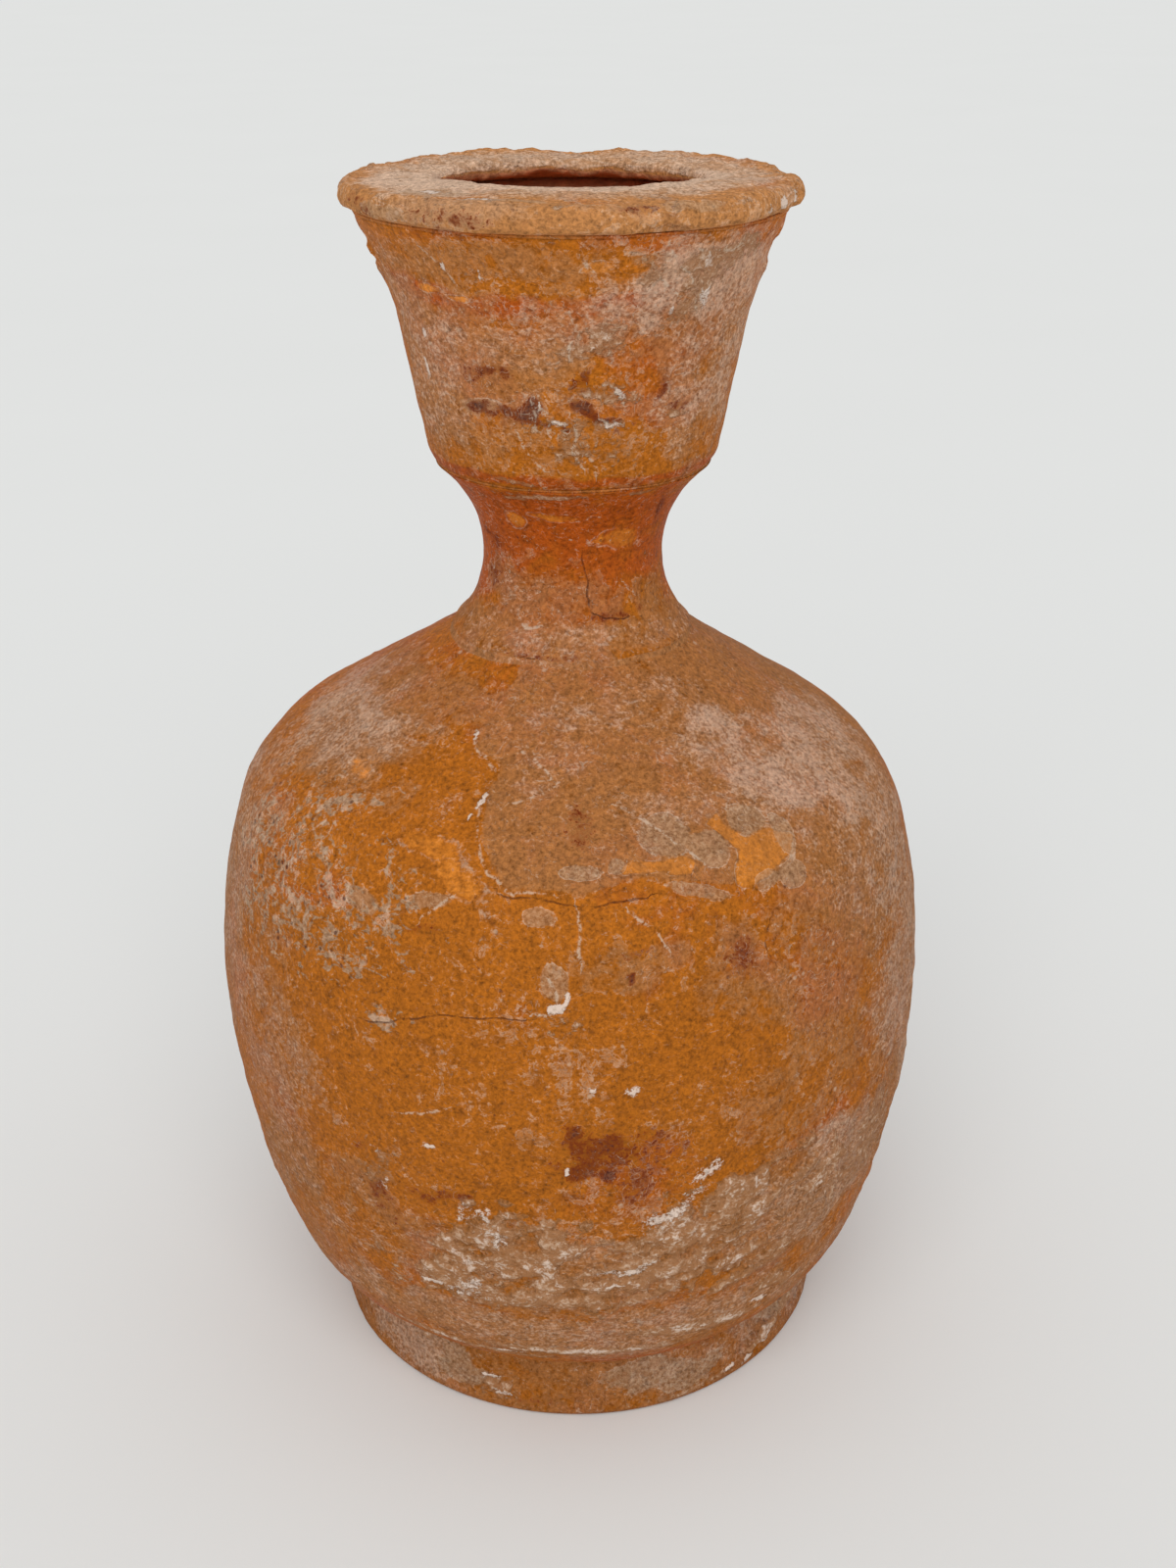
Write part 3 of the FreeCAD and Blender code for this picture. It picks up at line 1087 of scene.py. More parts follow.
class Coat:
    """A clay's layers in a material's graph, each laid over the ones before it."""

    share = Shares()

    def __init__(self, clay: Clay) -> None:
        """Start with the noises that the layers share.

        Args:
            clay: The clay, with its colours.
        """
        graph = Graph(clay.name)
        self.clay = clay
        self.graph = graph
        self.broad = graph.noise(17.0, distortion=0.5)
        self.middle = graph.noise(5.2, 4.0, 0.62, 0.9, offset=31.0)
        self.fine = graph.noise(1.5, 4.0, 0.66, 0.5, offset=57.0)
        self.finest = graph.noise(0.55, 2.0, 0.7, 0.3, offset=83.0)
        self.brushed = graph.noise(1.15, 3.0, 0.6, 1.6, clay.wiped, 12.0)
        self.skin = graph.field(Field.FILM) + clay.skin_more
        self.gold = graph.field(Field.GOLD)
        self.base: object = clay.slip

    def lay(self, share: Number, colour: object) -> None:
        """Lay a colour over what is there, by a share."""
        self.base = self.graph.mix(share, self.base, colour)

    def slip(self) -> None:
        """The slip's own colour, golden where it is clean, redder and browner in clouds."""
        red = (self.broad * 0.8 + self.middle * 0.5 - self.gold * 0.9).eased(-0.3, 0.8)
        self.lay(red, self.clay.slip_red)
        clouds = (self.middle * 0.5 - self.fine * 0.55 - 0.12).eased(0.0, 0.7)
        self.lay(clouds * self.share.clouds, self.clay.slip_brown)
        flecks = self.finest * 0.7 - self.fine * 0.3 + self.middle * 0.35 - 0.20
        self.lay(flecks.eased(0.0, 0.55) * self.share.brown_flecks, self.clay.slip_brown)

    def film(self) -> None:
        """The worn skin, with a paler line along its edge, a painted highlight on the flake's step.
        """
        veil = self.skin * 1.7 - 0.85 + self.broad * 0.32 + self.middle * 0.50 + self.fine * 0.34
        veil = veil + self.finest * 0.12
        self.veiled = veil.eased(-0.20, 0.28)
        share = self.share.film + self.skin * self.share.thick_film
        self.lay(self.veiled * share, self.clay.skin)
        # Painted highlight: a pale line along the film's flaked edge.
        edge = abs(veil).eased(0.12, 0.0) * (self.fine + self.broad * 0.5).eased(-0.1, 0.5)
        self.lay(edge * self.share.film_edge_painted_highlight, self.clay.edge)

    def powder(self) -> None:
        """Pale dust, as an even powder and in brushed strokes."""
        dusty = self.graph.field(Field.DUST)
        strokes = dusty * 1.4 - 1.0 + self.brushed * 0.70 + self.finest * 0.45 + self.middle * 0.35
        self.strokes = strokes.eased(-0.10, 0.75)
        powder = dusty * 0.8 - 0.40 + self.middle * 0.14 + self.broad * 0.10
        self.lay(powder.eased(0.0, 0.7) * self.share.powder, self.clay.dust)
        self.lay(self.strokes * self.share.strokes, self.clay.dust)

    def windows(self) -> None:
        """Bright slip where the film has flaked off, with a pale edge that is a painted highlight
        on the step.
        """
        window = self.graph.field(Field.BRIGHT) + self.fine * 0.10 + self.middle * 0.12
        self.opened = window.eased(0.40, 0.64)
        tone = 1.0 + self.middle * 0.12 + self.fine * 0.14
        bright = self.graph.lit(self.graph.colour(self.clay.bright), tone)
        self.lay(self.opened * (self.share.window + self.middle * 0.4), bright)
        # Painted highlight: a pale line along the step where the film flaked off.
        edge = abs(window - 0.40).eased(0.07, 0.0)
        edge = edge * (self.fine * 0.8 + self.middle).eased(-0.2, 0.4)
        self.lay(edge * self.share.window_edge_painted_highlight, self.clay.edge)

    def discs(self) -> None:
        """Round grey marks, each with a pale edge."""
        disc = self.graph.field(Field.GREY) + self.fine * 0.12 + self.middle * 0.10
        self.grey = disc.eased(0.40, 0.58)
        self.lay(self.grey * (self.share.disc + self.finest * 0.24), self.clay.grey)
        edge = abs(disc - 0.45).eased(0.065, 0.0)
        edge = edge * (self.middle + self.fine * 0.7).eased(-0.3, 0.4)
        self.lay(edge * self.share.disc_edge, self.clay.edge)

    def lichen(self) -> None:
        """Grey and pale growth with dark holes on the pitted wall."""
        pitted = self.graph.field(Field.PITTED)
        lichen = (pitted * 1.1 - 1.0 + self.middle * 0.55 + self.brushed * 0.65).eased(0.0, 0.25)
        self.lay(lichen * self.share.lichen, self.clay.grey)
        dusted = (pitted - 1.15 + self.fine * 0.9 + self.middle * 0.3).eased(0.0, 0.22)
        self.lay(dusted * self.share.lichen_dust, self.clay.dust)
        holed = (pitted * 0.7 + self.middle * 0.8 + self.broad * 0.3).eased(0.5, 0.9)
        self.holes = self.graph.spots(1.7, 0.24, 0.10, 5.0) * holed
        self.lay(self.holes * self.share.holes, self.clay.stain)

    def shade(self) -> None:
        """The grain's lights and darks, and the painted shade and light by height."""
        grain = self.fine * 0.22 + self.finest * 0.46 + self.middle * 0.10
        grain = grain * (1.0 - self.opened * 0.35) + 1.0 + self.broad * 0.06
        self.base = self.graph.lit(self.base, grain.larger(0.30))
        # Painted shade low on the flask and painted light on the cup, by height.
        self.base = self.graph.lit(self.base, 1.0 + self.graph.field(Field.TONE))

    def stains(self) -> None:
        """Dark specks, and stains that are scorched red where they are thin."""
        specked = (self.middle * 0.9 + self.fine).eased(0.1, 0.5)
        self.specks = self.graph.spots(2.9, 0.13, 0.05, 7.0) * specked
        self.lay(self.specks * self.share.specks, self.clay.stain)
        stain = self.graph.field(Field.STAIN) + self.middle * 0.30 + self.fine * 0.44
        stain = stain + self.finest * 0.22
        self.stained = stain.eased(0.40, 0.78)
        dark = self.graph.mix(stain.eased(0.80, 1.30), self.clay.scorch, self.clay.stain)
        self.lay(self.stained * (self.share.stain + self.finest * 0.3), dark)

    def threads(self) -> None:
        """Pale hairs, fewer on clean slip, and flecks of lime."""
        long = (self.fine * 0.5 + self.broad).eased(-0.15, 0.35)
        long = self.graph.threads(2.7, 0.050, 1.6, 19.0) * long
        short = (self.brushed + self.middle * 0.4).eased(0.15, 0.6)
        short = self.graph.threads(1.3, 0.085, 1.0, 41.0) * short
        hairs = long.larger(short) * (1.0 - self.gold * 0.5)
        self.lay(hairs * self.share.hairs, self.clay.edge)
        flecked = (self.middle + self.broad * 0.4).eased(0.1, 0.5)
        flecks = self.graph.spots(3.3, 0.15, 0.07, 29.0) * flecked
        self.lay(flecks * self.share.pale_flecks, self.clay.lime)

    def lime(self) -> None:
        """Lime with pale ridges, partly the lime's own colour and partly painted highlight, and the
        single pale marks.
        """
        lime = self.graph.field(Field.LIME) + self.clay.lime_more
        lime = lime + self.middle * 0.26 + self.fine * 0.24 + self.brushed * 0.10
        self.limed = lime.eased(0.38, 0.62)
        tone = self.fine * 0.7 + self.finest * 0.5 + self.brushed * 0.3 + lime * 1.1 - 0.85
        shaded = self.graph.mix(tone.eased(-0.2, 0.75), self.clay.lime_shade, self.clay.lime)
        self.lay(self.limed * self.share.lime, shaded)
        # Paler paint on the lime's ridges, partly the lime's own colour and partly a painted
        # highlight.
        ridge_pale_and_painted_highlight = lime + self.middle * 0.34 + self.finest * 0.24 + self.fine * 0.10
        self.lay(ridge_pale_and_painted_highlight.eased(0.90, 1.30) * self.share.ridges, self.clay.white_and_painted_highlight)
        pale = self.graph.field(Field.PALE) + self.fine * 0.30 + self.finest * 0.22
        self.whitened = (pale + self.middle * 0.12).eased(0.50, 0.74)
        self.lay(self.whitened * self.share.pale, self.clay.white_and_painted_highlight)

    def lines(self) -> None:
        """Dark cracks and pale scratches."""
        crack = abs(self.graph.field(Field.CRACK) + self.fine * 0.14 + self.middle * 0.16)
        crack = crack.eased(0.16, 0.03) * self.graph.field(Field.CRACK_NEAR).eased(0.3, 0.7)
        self.crack = crack * (self.fine + self.middle).eased(-0.6, 0.2)
        self.lay(self.crack * self.share.crack, self.clay.stain)
        scratch = abs(self.graph.field(Field.SCRATCH) + self.fine * 0.14 + self.middle * 0.12)
        scratch = scratch.eased(0.34, 0.05) * self.graph.field(Field.SCRATCH_NEAR).eased(0.3, 0.7)
        self.scratch = scratch * (self.fine + self.finest * 0.6).eased(-0.25, 0.4)
        self.lay(self.scratch * self.share.scratch, self.clay.edge)

    def inside(self) -> None:
        """The bare clay of the inside, painted paler to stand in for the light inside."""
        tone = 1.0 + self.fine * 0.4 + self.middle * 0.3
        bare = self.graph.lit(self.graph.colour(self.clay.inside), tone)
        within = self.graph.field(Field.INSIDE).eased(0.2, 0.8)
        # Painted light: the inside's bare clay is laid paler to stand in for light.
        self.lay(within * self.share.inside, bare)

    def finish(self) -> bpy.types.Material:
        """Add up the fine relief and the roughness of all layers, and close the graph.

        Returns:
            The material.
        """
        height = self.fine * 0.070 + self.finest * 0.040 + self.brushed * 0.036 + self.middle * 0.05
        height = height + self.veiled * 0.030 - self.opened * 0.09 + self.grey * 0.04
        height = height + self.strokes * 0.02 + self.limed * (0.12 + self.fine * 0.10)
        height = height + self.whitened * 0.10 - self.stained * 0.02 - self.crack * 0.20
        height = height - self.holes * 0.20 - self.specks * 0.10 + self.scratch * 0.03
        rough = self.clay.roughness + self.veiled * 0.10 + self.limed * 0.25
        rough = rough + self.fine * 0.06 - self.opened * 0.12
        return self.graph.finish(self.base, rough, height, 0.09)


@dataclass(frozen=True)
class Paper:
    """The pale sheet that the flask stands on."""

    name: str
    shade: Colour = (0.83, 0.835, 0.82)

    def build(self) -> bpy.types.Material:
        """Build the material.

        Returns:
            The material of the sheet.
        """
        graph = Graph(self.name)
        tone = 1.0 + graph.noise(160.0, 2.0) * 0.005
        base = graph.lit(graph.colour(self.shade), tone)
        return graph.finish(base, 0.9, graph.noise(2.0) * 0.003, 0.0)


@dataclass
class Part:
    """What all pieces of the flask have in common, with the finish of each slot."""

    finishes: dict[str, bpy.types.Material]

    gold = ()
    red = ()

    def wear(self, skin: Skin, share: np.ndarray | float, *fields: Field) -> None:
        """Carry several of the part's tables of marks on a piece.

        Args:
            skin: The piece's vertices.
            share: How much of the marks shows on each of them.
            fields: The masks, each named like its table.
        """
        for field in fields:
            skin.carry(field, skin.cover(getattr(self, field.value)) * share)

    def tint(self, skin: Skin, share: np.ndarray | float) -> None:
        """Carry where the slip is golden, and below 0 where it is red."""
        skin.carry(Field.GOLD, (skin.cover(self.gold) - skin.cover(self.red)) * share)

    def settle(self, skin: Skin, node: str, slot: str) -> None:
        """Lean a piece like the whole flask, dress it and put it in its node's place.

        Args:
            skin: The piece's vertices, with their relief.
            node: The node that it stands for.
            slot: The record's material slot, which also names its finish.
        """
        skin.shift(Hand.lean(skin.points))
        skin.write()
        piece = skin.piece
        piece.data.materials.clear()
        piece.data.materials.append(self.finishes[slot])
        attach(piece, Body.ROOT.value)
        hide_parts(node)
        log.info("%s: %d faces", piece.name, len(piece.data.polygons))


@dataclass
class Wall:
    """The body's wall: tangent arcs from the foot up to the sloping shoulder."""

    belly: float = 54.4
    foot_top: float = 11.5
    base_size: float = 22.3
    base_from: float = -54.0
    base_to: float = -18.0
    lower_size: float = 129.0
    upper_size: float = 99.0
    upper_to: float = 15.6
    shoulder_size: float = 20.8
    slope: float = 32.0

    def __post_init__(self) -> None:
        """Work out the arcs' centres."""
        rise = self.base_size * (sin(self.base_to) - sin(self.base_from))
        self.middle = self.foot_top + rise - self.lower_size * sin(self.base_to)
        self.lower = (self.belly - self.lower_size, self.middle)
        self.base = self.beside(self.lower, self.lower_size, self.base_size, self.base_to)
        self.upper = (self.belly - self.upper_size, self.middle)
        self.shoulder = self.beside(
            self.upper, self.upper_size, self.shoulder_size, self.upper_to
        )
        end = 90.0 - self.slope
        self.slope_start = (
            self.shoulder[0] + self.shoulder_size * cos(end),
            self.shoulder[1] + self.shoulder_size * sin(end),
        )

    def beside(self, centre: Point, size: float, other: float, angle: float) -> Point:
        """Centre of an arc of another size that touches an arc where both face an angle."""
        return (centre[0] + (size - other) * cos(angle), centre[1] + (size - other) * sin(angle))

    def shoulder_height(self, radius: float, inset: float = 0.0) -> float:
        """Height of the sloping shoulder at a radius, moved inwards by an inset."""
        rise = (self.slope_start[0] - radius) * math.tan(math.radians(self.slope))
        return self.slope_start[1] + rise - inset / cos(self.slope)

    def climb(self, outline: Outline, step: float) -> None:
        """Draw the outer wall in an outline, from the foot to the start of the slope."""
        end = 90.0 - self.slope
        outline.arc(self.base, self.base_size, self.base_from, self.base_to, step)
        outline.arc(self.lower, self.lower_size, self.base_to, 0.0, step)
        outline.arc(self.upper, self.upper_size, 0.0, self.upper_to, step)
        outline.arc(self.shoulder, self.shoulder_size, self.upper_to, end, step)


@dataclass
class Vessel(Part):
    """The thrown body."""

    wall: Wall
    thickness: float = 4.6
    floor: float = 7.94
    hole: float = 12.5
    foot_seat: float = 35.785
    grid: float = 0.75
    coarse: float = 6.0
    steps: int = 456
    flake_height: float = 0.10
    window_depth: float = 0.10
    pit_depth: float = 0.26
    crust_height: float = 0.34
    lump_height: float = 0.40

    pits = Grain(21)
    bands = Grain(25)
    crust_tooth = Grain(27)
    boulders = Grain(31)
    rough: Marks = marks((62, 48, 24, 22), (46, 34, 18, 10), (-66, 36, 12, 14, 0, 0.4))

    flake: Patch = Patch(
        (
            (-20, 117.5), (-27, 110), (-26, 108.2), (-18.3, 107.2), (-17.8, 104.3), (-17.1, 102.3),
            (-15.1, 99.9), (-13.1, 98.2), (-11.1, 96.8), (-4, 96.2), (3, 96.5), (9, 97.4),
            (16, 96.9), (24, 96.2), (34, 94.6), (44, 92), (56, 92), (75, 92), (94, 95),
            (110, 102), (124, 110), (136, 118),
        ),
        soft=1.6, strength=0.82, sway=0.3, fray=0.3,
    )
    film: Marks = (
        flake,
        *marks(
            (0, 75, 260, 90, 0, 0.3, 0), (62, 92, 26, 20, 0, 0.8), (76, 62, 24, 32, 0, 0.78),
            (-62, 104, 18, 10, 0, 0.84), (-36, 112, 14, 6, 0, 0.66), (-78, 80, 18, 28, 0, 0.72),
            (-84, 50, 18, 26, 0, 0.66), (-52, 66, 17, 22, 0, 0.56), (-66, 108, 18, 9, 0, 0.8),
            (4, 23, 80, 8, 0, 0.84), (-52, 42, 16, 14, 0, 0.74), (46, 42, 26, 14, 0, 0.92),
            (-30, 45, 10, 9, 0, 0.62), (2, 38, 44, 11, 0, 0.66), (-50, 34, 18, 12, 0, 0.6),
            (27, 84, 11, 8, 0, 0.6), (9, 89, 8, 5, 0, 0.6), (46, 74, 15, 15, 0, 0.58),
            (33, 60, 14, 10, 0, 0.5), (150, 92, 34, 26, 0, 0.85), (-150, 60, 34, 34, 0, 0.75),
        ),
    )
    dust: Marks = marks(
        (0, 75, 260, 90, 0, 0.38, 0), (66, 103, 24, 14, -10, 1.05, 1.8),
        (44, 107, 14, 8, -10, 0.84), (4, 24, 80, 8, 0, 0.78), (-55, 62, 20, 26, 0, 0.7),
        (-72, 105, 22, 12, 0, 1), (-40, 109, 22, 7, 0, 0.4), (-52, 42, 16, 14, 0, 0.66),
        (30, 112, 14, 6, 0, 0.7), (60, 96, 16, 14, 0, 0.8), (4, 112, 16, 6, 0, 0.72),
        (20, 103, 11, 4, 0, 0.78), (-4, 107, 9, 7, 0, 0.66), (-58, 101, 20, 13, 0, 0.52),
        (-35, 92, 18, 9, 0, 0.58), (-76, 84, 17, 28, 0, 0.84), (73, 74, 19, 40, 0, 0.94, 1.8),
        (-84, 58, 13, 38, 0, 0.74), (4, 40, 40, 13, 0, 0.66), (48, 43, 24, 16, 0, 0.9),
        (-36, 38, 18, 10, 0, 0.66), (150, 92, 30, 24, 0, 0.8),
    )
    bright: Marks = (
        Patch(
            (
                (8.5, 98.3), (11, 99.5), (14, 98.9), (19, 99.5), (22, 98.6), (21, 97.6), (14, 98),
                (10, 97.9),
            ),
            soft=1.4, strength=1, sway=0.25, fray=0.35,
        ),
        Patch(
            (
                (27, 101.6), (29.5, 102.4), (31.2, 101), (33, 99.8), (38, 100.3), (43, 98.6),
                (41, 97.2), (36, 96), (31, 94.8), (28, 95.4), (29.5, 97.5), (31, 99), (28.5, 100.4),
            ),
            soft=1.6, strength=1, sway=0.25, fray=0.35,
        ),
        *marks(
            (-25, 100, 6, 3, -20, 0.54), (-18.5, 97, 5.6, 2.8, -24, 0.56),
            (-50, 103.5, 4, 2, 0, 0.56), (-42, 97.5, 3.6, 1.8, 0, 0.54), (128, 96, 6, 3, 10),
            (-120, 84, 7, 3.6, -14),
        ),
    )
    gold: Marks = marks(
        (-8, 69, 27, 13, 0, 1), (-16, 59, 21, 9, 0, 1), (18, 76, 17, 8, 0, 0.7),
        (-26, 98, 11, 7, 0, 1), (-12, 89.5, 16, 5, 0, 0.9), (-32, 86, 12, 6, 0, 0.6),
        (0, 77, 20, 6, 0, 0.85), (32, 70, 14, 10, 0, 0.55), (10, 47, 22, 7, 0, 0.5),
        (-46, 102, 18, 9, 0, 0.75), (-4, 36, 14, 5, 0, 0.4), (170, 62, 34, 22, 0, 0.8),
    )
    red: Marks = marks(
        (-45, 103, 9, 4, 0, 0.3), (60, 80, 16, 20, 0, 0.2),
    )
    grey: Marks = marks(
        (35.5, 101.3, 2.9, 2.5, 0, 1, 0.5), (25.5, 99.7, 3, 2.4, 0, 1, 0.6),
        (17.9, 101.2, 3.8, 2.8, 0, 1, 0.5), (41.3, 99.2, 1.5, 3, 0, 1, 0.6),
        (39.4, 95, 2.6, 1.6, 0, 1, 0.6), (8.2, 98.9, 1.1, 1.1, 0, 1, 0.4),
        (2, 98.6, 3, 1, 0, 0.9, 0.8), (21, 95.6, 4.6, 1.1, -18, 1, 0.8),
        (34, 95.2, 2.4, 1.1, 10, 0.9, 0.8), (-4.5, 93.8, 2.4, 1.2, 0, 0.8, 0.9),
        (-1.5, 86, 2, 3.4, 0, 0.72, 0.9), (-34, 92.5, 4, 1.8, -14, 0.8),
        (-22, 94, 3.4, 1.2, 16, 0.75),
    )
    pitted: Marks = (
        Patch(
            (
                (-76, 92), (-62, 101), (-45, 103), (-30, 102), (-20, 97), (-13, 92), (-18, 84),
                (-40, 77), (-64, 75),
            ),
            soft=14, strength=0.92, sway=3.5, fray=1.2,
        ),
        *marks(
            (-27, 78, 4.4, 1.9, 10, 0.95), (-17, 91, 3, 1.6, 0, 0.9),
        ),
    )
    stain: Marks = marks(
        (3.4, 57.6, 4, 1.8, 0, 0.96, 1.8), (2.6, 62.4, 1.8, 3.4, 10, 0.92, 1.8),
        (6.4, 59.8, 5, 3.8, 0, 0.78, 1.8), (10, 57.6, 7, 3.6, 0, 0.56, 1.8),
        (6, 56.4, 1.7, 0.9, 0, 1.25, 1.8), (1.4, 58.2, 1, 1, 0, 1.1, 1.8),
        (2.6, 63.6, 0.8, 1.4, 0, 1.05, 1.8), (-19, 51.6, 7, 1.5, 6, 0.66, 1.8),
        (-28, 47, 3, 2.6, 0, 0.58, 1.8), (-8, 47, 2.6, 1, 30, 0.6),
        (9.2, 86.1, 0.6, 0.6, 0, 1.3, 0.4), (27, 86.5, 4, 2.4, 0, 0.6),
        (1.8, 102.5, 1.6, 5, 0, 0.5), (-21, 90.6, 5, 1, 8, 0.58), (-33, 56, 2.4, 2.4, 0, 0.5),
        (10.5, 89.6, 3, 0.8, 10, 0.62),
    )
    pale: Marks = marks(
        (-1.6, 82.3, 1.2, 0.7, 0, 1.25, 0.6), (-4.4, 81.5, 1.9, 0.35, 0, 1.2, 0.6),
        (0.2, 83.6, 0.5, 1.2, 0, 1, 0.6), (-18.4, 104.2, 0.45, 1.7, -14, 1, 0.5),
        (-19.6, 102.6, 0.35, 0.9, -20, 1, 0.5), (-26.9, 109.4, 0.4, 1, 10, 0.9, 0.5),
        (-13.5, 48.4, 4.4, 2.8, 10, 0.6, 2), (-10.5, 44, 2.2, 3, 0, 0.58, 2),
        (14.6, 49.2, 6.6, 1.5, 26, 0.72, 2), (20.6, 54.6, 3, 1.2, 40, 0.66, 2),
        (9, 39.6, 6, 0.9, 18, 0.7, 2), (-18, 33, 5, 1.8, -10, 0.56, 2), (7, 36.4, 2.2, 0.4, 0, 0.8),
        (-23.6, 32.7, 2, 0.4, 0, 0.95), (-20.4, 59.7, 0.9, 0.6, 0, 0.95),
        (-16.4, 35.2, 2.6, 1.4, 0, 0.66), (0, 57.6, 0.3, 1, -10, 1.1, 0.5),
        (9.5, 70, 2, 1.2, 0, 0.62), (4, 70.6, 1.2, 0.8, 0, 0.6), (-12, 18.6, 4, 0.6, 0, 0.75),
        (36, 22.6, 2.6, 0.8, -20, 0.8), (-28, 50, 0.9, 1.6, 0, 0.7), (-30, 56, 1.6, 0.8, -30, 0.6),
    )
    lime: Marks = marks(
        (-20, 18.2, 13, 1.1, -4, 0.95, 0.5), (2, 19.6, 15, 1.2, -3, 1, 0.5),
        (24, 21.8, 12, 1.5, -9, 1, 0.5), (40, 25.4, 6, 1.8, -18, 0.8, 0.6),
        (-16, 35, 9, 3, -6, 0.72), (-1, 81, 6, 2.6, 0, 0.42), (-30, 53, 3, 5, 0, 0.55),
        (56, 44, 12, 9, 30, 0.56, 1.4), (34, 34, 9, 2.6, 16, 0.62, 1.6),
        (-22, 33, 8, 4, -10, 0.66, 1.6), (160, 30, 18, 6, 8, 0.8),
    )
    cracks: Strokes = strokes(
        2.2,
        ((32.8, 89.8), (31.5, 88.1), (32.5, 85.9)),
        ((-30, 76.6), (-19.5, 79.7), (-12.1, 80.6), (-6.2, 81)),
        ((-10, 96.2), (-3.9, 95.6), (4, 95.2), (12, 95.8)),
    )
    scratches: Strokes = strokes(
        2.2,
        ((-13.5, 108.6), (-8.7, 107.8), (-3.6, 106.2)),
        ((-11.6, 104.2), (-7.5, 104.9), (-3.4, 105.6)),
        ((-27.4, 109.8), (-26, 108.3), (-21, 107.4), (-18.6, 106.6)),
        ((-18, 105.6), (-18.2, 103.6), (-17.4, 101.6)),
        ((-17.4, 101.6), (-15.6, 99.4), (-13.2, 97.8), (-9, 96.5), (-3, 96.3)),
        ((10, 104), (17, 101.6), (24, 98)), ((1, 95), (1.6, 92), (2.4, 89)),
        ((-24.1, 64.4), (-17.9, 66)), ((-22, 92), (-19, 95)),
        ((-6, 82), (-3.4, 81.2), (-2, 81.8), (-1.2, 84.2), (-2.4, 86)),
        ((-52, 92), (-50, 96), (-47, 99)), ((9, 94.4), (13, 92.6), (14.6, 90)),
    )

    def shape(self) -> tuple[bpy.types.Object, Face]:
        """Turn the body with a fine outer wall and a plain inner one.

        Returns:
            The closed body and its shown wall.
        """
        wall = self.wall
        base_radius = wall.base[0] + wall.base_size * cos(wall.base_from)
        outline = Outline(0.0, self.floor)
        outline.line(self.foot_seat - 0.2, self.floor, self.coarse)
        outline.line(self.foot_seat - 0.2, wall.foot_top - 0.2, self.coarse)
        outline.line(base_radius, wall.foot_top, 1.5)
        first = len(outline.points) - 1
        wall.climb(outline, self.grid)
        outline.line(self.hole, wall.shoulder_height(self.hole), self.grid)
        face = Face(tuple(outline.points[first:]))
        outline.line(self.hole, wall.shoulder_height(self.hole, self.thickness), 2.0)
        inner_end = 90.0 - wall.slope
        inner = wall.shoulder_size - self.thickness
        outline.line(
            wall.shoulder[0] + inner * cos(inner_end),
            wall.shoulder[1] + inner * sin(inner_end),
            self.coarse,
        )
        outline.arc(wall.shoulder, inner, inner_end, wall.upper_to, self.coarse)
        inner = wall.upper_size - self.thickness
        outline.arc(wall.upper, inner, wall.upper_to, 0.0, self.coarse)
        inner = wall.lower_size - self.thickness
        outline.arc(wall.lower, inner, 0.0, wall.base_to, self.coarse)
        inner = wall.base_size - self.thickness
        outline.arc(wall.base, inner, wall.base_to, -90.0, self.coarse)
        outline.line(0.0, wall.base[1] - inner, self.coarse)
        return Bench.turn("body_clay", outline, self.steps), face

    def build(self) -> None:
        """Make the body, work its surface and dress it."""
        skin = Skin(*self.shape())
        outer = smooth(0.0, 0.25, skin.outward)
        crust = Hand.crust(skin)
        skin.carry(Field.INSIDE, 1.0 - smooth(-0.3, 0.0, skin.outward))
        self.wear(skin, outer, Field.FILM, Field.DUST, Field.BRIGHT, Field.GREY, Field.PITTED)
        self.wear(skin, outer, Field.STAIN, Field.PALE)
        self.tint(skin, outer)
        lime = np.maximum(skin.cover(self.lime), skin.cover(LIMED) * 0.06 + crust * 0.60)
        skin.carry(Field.LIME, lime * outer)
        skin.carry_strokes(self.cracks, Field.CRACK, Field.CRACK_NEAR)
        skin.carry_strokes(self.scratches, Field.SCRATCH, Field.SCRATCH_NEAR)
        skin.lift(self.relief(skin, crust) * outer)
        self.settle(skin, "body", "slipped_clay")

    def relief(self, skin: Skin, crust: np.ndarray) -> np.ndarray:
        """Relief of the outer wall, with pits, sunken windows and raised lime.

        Args:
            skin: The body's vertices.
            crust: How much lime covers each of them.

        Returns:
            Millimetres along each vertex's normal.
        """
        amount = Hand.relief(skin, 1.0)
        pits = smooth(0.25, 0.62, self.pits.layered(skin.points, 2.6, 2))
        amount -= pits * skin.cover(self.pitted) * self.pit_depth
        tooth = self.crust_tooth.layered(skin.points, 1.9, 2) * 0.20
        amount += crust * (self.crust_height + tooth)
        band = smooth(0.35, 0.8, skin.cover(self.lime))
        amount += band * (0.10 + self.bands.layered(skin.points, 2.2, 2) * 0.10)
        lumps = self.boulders.layered(skin.points, 4.4, 3) * self.lump_height
        amount += skin.cover(self.rough) * lumps
        amount -= smooth(0.45, 0.6, skin.cover(self.bright)) * self.window_depth
        amount += smooth(0.40, 0.60, skin.cover((self.flake,))) * self.flake_height
        return amount


